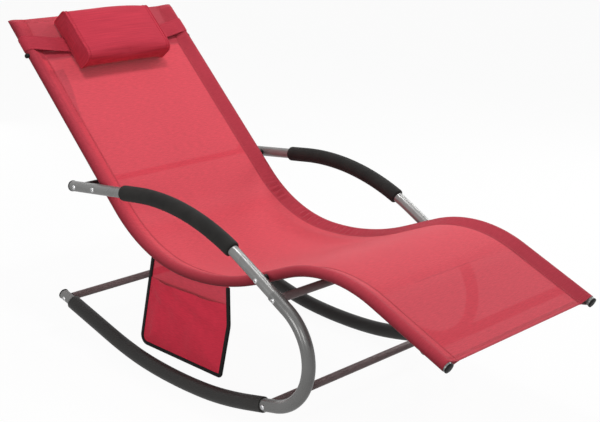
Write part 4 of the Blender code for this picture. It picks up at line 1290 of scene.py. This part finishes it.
def pocket_sheet(name, grid, out, finish, layers):
    """A cloth panel of the pocket; out is how far each place stands off the rail's middle."""
    count_r, count_c = grid.shape[:2]
    skin = np.stack((grid[..., 0], -rail_y - out, grid[..., 1]), axis=2).reshape(-1, 3)
    faces = [(r * count_c + c, (r + 1) * count_c + c, (r + 1) * count_c + c + 1, r * count_c + c + 1)
             for r in range(count_r - 1) for c in range(count_c - 1)]
    made = piece(name, skin, faces, finish, closed=False)
    lay_out(made, grid.reshape(-1, 2), layers=np.full(count_r * count_c, layers))
    return made


def swing(made):
    """Bake the piece's placement into its mesh."""
    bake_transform(made)


pocket_cloth = red_mesh_cloth("red pocket cloth", single_red, see_through, doubled_and_shaded=pouch_red)
panel_grid = pocket_grid()
panel_out = np.full(panel_grid.shape[:2], -panel_off)
panel = pocket_sheet("red_pocket_back", panel_grid, panel_out, pocket_cloth, panel_layers)
pouch_grid = pocket_grid(pocket_mouth)
pouch_x, pouch_z = pouch_grid[..., 0], pouch_grid[..., 1]
rise = np.clip((off_edge(pouch_grid) - binding_lip - binding_web) / pocket_bulge_reach, 0, 1)
bend = crease_bend * np.sin(crease_bend_z * pouch_z)
creases = np.sin(crease_x * pouch_x + crease_z * pouch_z + bend)
creases = creases + second_crease * np.sin(second_crease_x * pouch_x + second_crease_z * pouch_z)
pouch_out = panel_off + pocket_bulge * rise * (2 - rise) + pocket_crease * np.minimum(3 * rise, 1) * creases
pouch = pocket_sheet("red_pocket_front", pouch_grid, pouch_out, pocket_cloth, 1.0)
for made, node_name in ((panel, "pocket_panel"), (pouch, "pocket_pouch")):
    swing(made)
    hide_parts(node_name)


tape = mottled("black tape", tape_dark, tape_light, (300.0, 3.0), roughness=0.8, specular=0.10,
               grain=(1200.0, 2.0, 0.4, 0.0004))
tape.node_tree.nodes["Principled BSDF"].inputs["Sheen Weight"].default_value = 0.03
tape_section = [(binding_lip, 0.55), (binding_lip - binding_edge, 1.0), (0.0, 1.0)]
tape_section += [(-0.6 * binding_web, 0.8), (-binding_web, 0.3)]
tape_section += [(inward, -out) for inward, out in tape_section[::-1]]
binding_runs = np.linspace(binding_end_gap, runs_of(outline)[-1] - binding_end_gap, binding_stations)
bound = on_line(outline, binding_runs)[0]
bound_headings = on_line(bound, runs_of(bound))[1]
skin = []
for (x, z), heading in zip(bound, bound_headings):
    for inward, out in tape_section:
        skin.append((x - inward * sin(heading), -rail_y - out * binding_half, z + inward * cos(heading)))
binding = piece("black_binding", skin, ring_faces(len(bound), len(tape_section)), tape)
swing(binding)
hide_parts("pocket_binding")


# Stage: a plain pale floor, soft lamps overhead and round the chair, and the camera of the photograph.
# The picture is taken to be 600 by 422, and the camera stands before the feet on the sitter's right.
floor_size = 14.0
floor_shade = 0.95
bounce_shade = 0.28
floor_glow = 0.95
backdrop_white = 1.0
dome_strength = 0.18
camera_target = Vector((0.0787, 0.0, 0.4016))
camera_distance = 2.8478
camera_azimuth = radians(43.89)
camera_elevation = radians(17.565)
camera_roll = radians(1.708)
camera_lens = 71.945
camera_sensor = 36.0


def shown(tree, path):
    """1 for rays that show a surface to the camera, straight or by way of shine or glass."""
    seen = path.outputs["Is Camera Ray"]
    for kind in ("Is Glossy Ray", "Is Transmission Ray"):
        either = node(tree, "ShaderNodeMath", [("operation", "MAXIMUM")], i0=seen, i1=path.outputs[kind])
        seen = either.outputs[0]
    return seen


def pale_floor():
    """Pale floor that keeps the chair's shadow; light that bounces off it onto the chair is held back."""
    finish, tree, shader = new_finish("pale floor", (floor_shade,) * 3, roughness=0.9)
    path = node(tree, "ShaderNodeLightPath")
    tone = node(tree, "ShaderNodeMix", [("data_type", "RGBA")], i0=path.outputs["Is Diffuse Ray"])
    tone.inputs[6].default_value = (floor_shade,) * 3 + (1.0,)
    tone.inputs[7].default_value = (bounce_shade,) * 3 + (1.0,)
    matt = node(tree, "ShaderNodeBsdfDiffuse", Color=tone.outputs[2])
    glow = node(tree, "ShaderNodeEmission", Color=(1, 1, 1, 1), Strength=backdrop_white)
    share = node(tree, "ShaderNodeMath", [("operation", "MULTIPLY")], i0=shown(tree, path), i1=floor_glow)
    both = node(tree, "ShaderNodeMixShader", i0=share.outputs[0], i1=matt.outputs[0], i2=glow.outputs[0])
    tree.links.new(both.outputs[0], tree.nodes["Material Output"].inputs["Surface"])
    return finish


half = floor_size / 2
corners = [(-half, -half, 0), (half, -half, 0), (half, half, 0), (-half, half, 0)]
floor = piece("floor", corners, [(0, 1, 2, 3)], pale_floor(), closed=False)
floor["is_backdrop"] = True

world = bpy.data.worlds.new("studio")
world.use_nodes = True
bpy.context.scene.world = world
tree = world.node_tree
path = node(tree, "ShaderNodeLightPath")
strength = node(tree, "ShaderNodeMix", i0=shown(tree, path), i2=dome_strength, i3=backdrop_white)
tree.links.new(strength.outputs[0], tree.nodes["Background"].inputs["Strength"])
tree.nodes["Background"].inputs["Color"].default_value = (1, 1, 1, 1)

lamps = {
    "over_head": ((-0.5, -0.1, 2.4), 2.2, 6.0),
    "over_foot": ((0.8, -0.1, 2.5), 2.0, 5.0),
    "over_top": ((0.0, -0.1, 2.9), 0.3, 20.0),
    "far_high": ((-0.05, 1.75, 2.7), 0.5, 13.0),
    "far_low": ((0.0, 2.6, 1.6), 0.8, 24.0),
    "near_low": ((0.2, -2.8, 0.7), 0.9, 20.0),
    "behind_low": ((-2.6, 0.2, 0.5), 1.2, 9.0),
    "near_front": ((2.4, -2.3, 1.6), 1.0, 23.0),
}
lamp_aim = Vector((0.0, 0.0, 0.3))
for name, (spot, size, power) in lamps.items():
    light = bpy.data.lights.new(name, "AREA")
    light.size = size
    light.energy = power
    lamp = bpy.data.objects.new(name, light)
    lamp.location = spot
    lamp.rotation_euler = (lamp_aim - Vector(spot)).to_track_quat("-Z", "Y").to_euler()
    bpy.context.scene.collection.objects.link(lamp)

lens = bpy.data.cameras.new("camera")
lens.lens = camera_lens
lens.sensor_width = camera_sensor
lens.sensor_fit = "HORIZONTAL"
camera = bpy.data.objects.new("camera", lens)
turn = (Matrix.Rotation(camera_azimuth, 4, "Z") @ Matrix.Rotation(pi / 2 - camera_elevation, 4, "X")
        @ Matrix.Rotation(camera_roll, 4, "Z"))
back = turn.to_3x3() @ Vector((0, 0, 1))
camera.matrix_world = Matrix.Translation(camera_target + back * camera_distance) @ turn
bpy.context.scene.collection.objects.link(camera)
bpy.context.scene.camera = camera
bpy.context.scene.view_settings.view_transform = "Standard"

# The box round every shown piece, without the floor.
low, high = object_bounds()
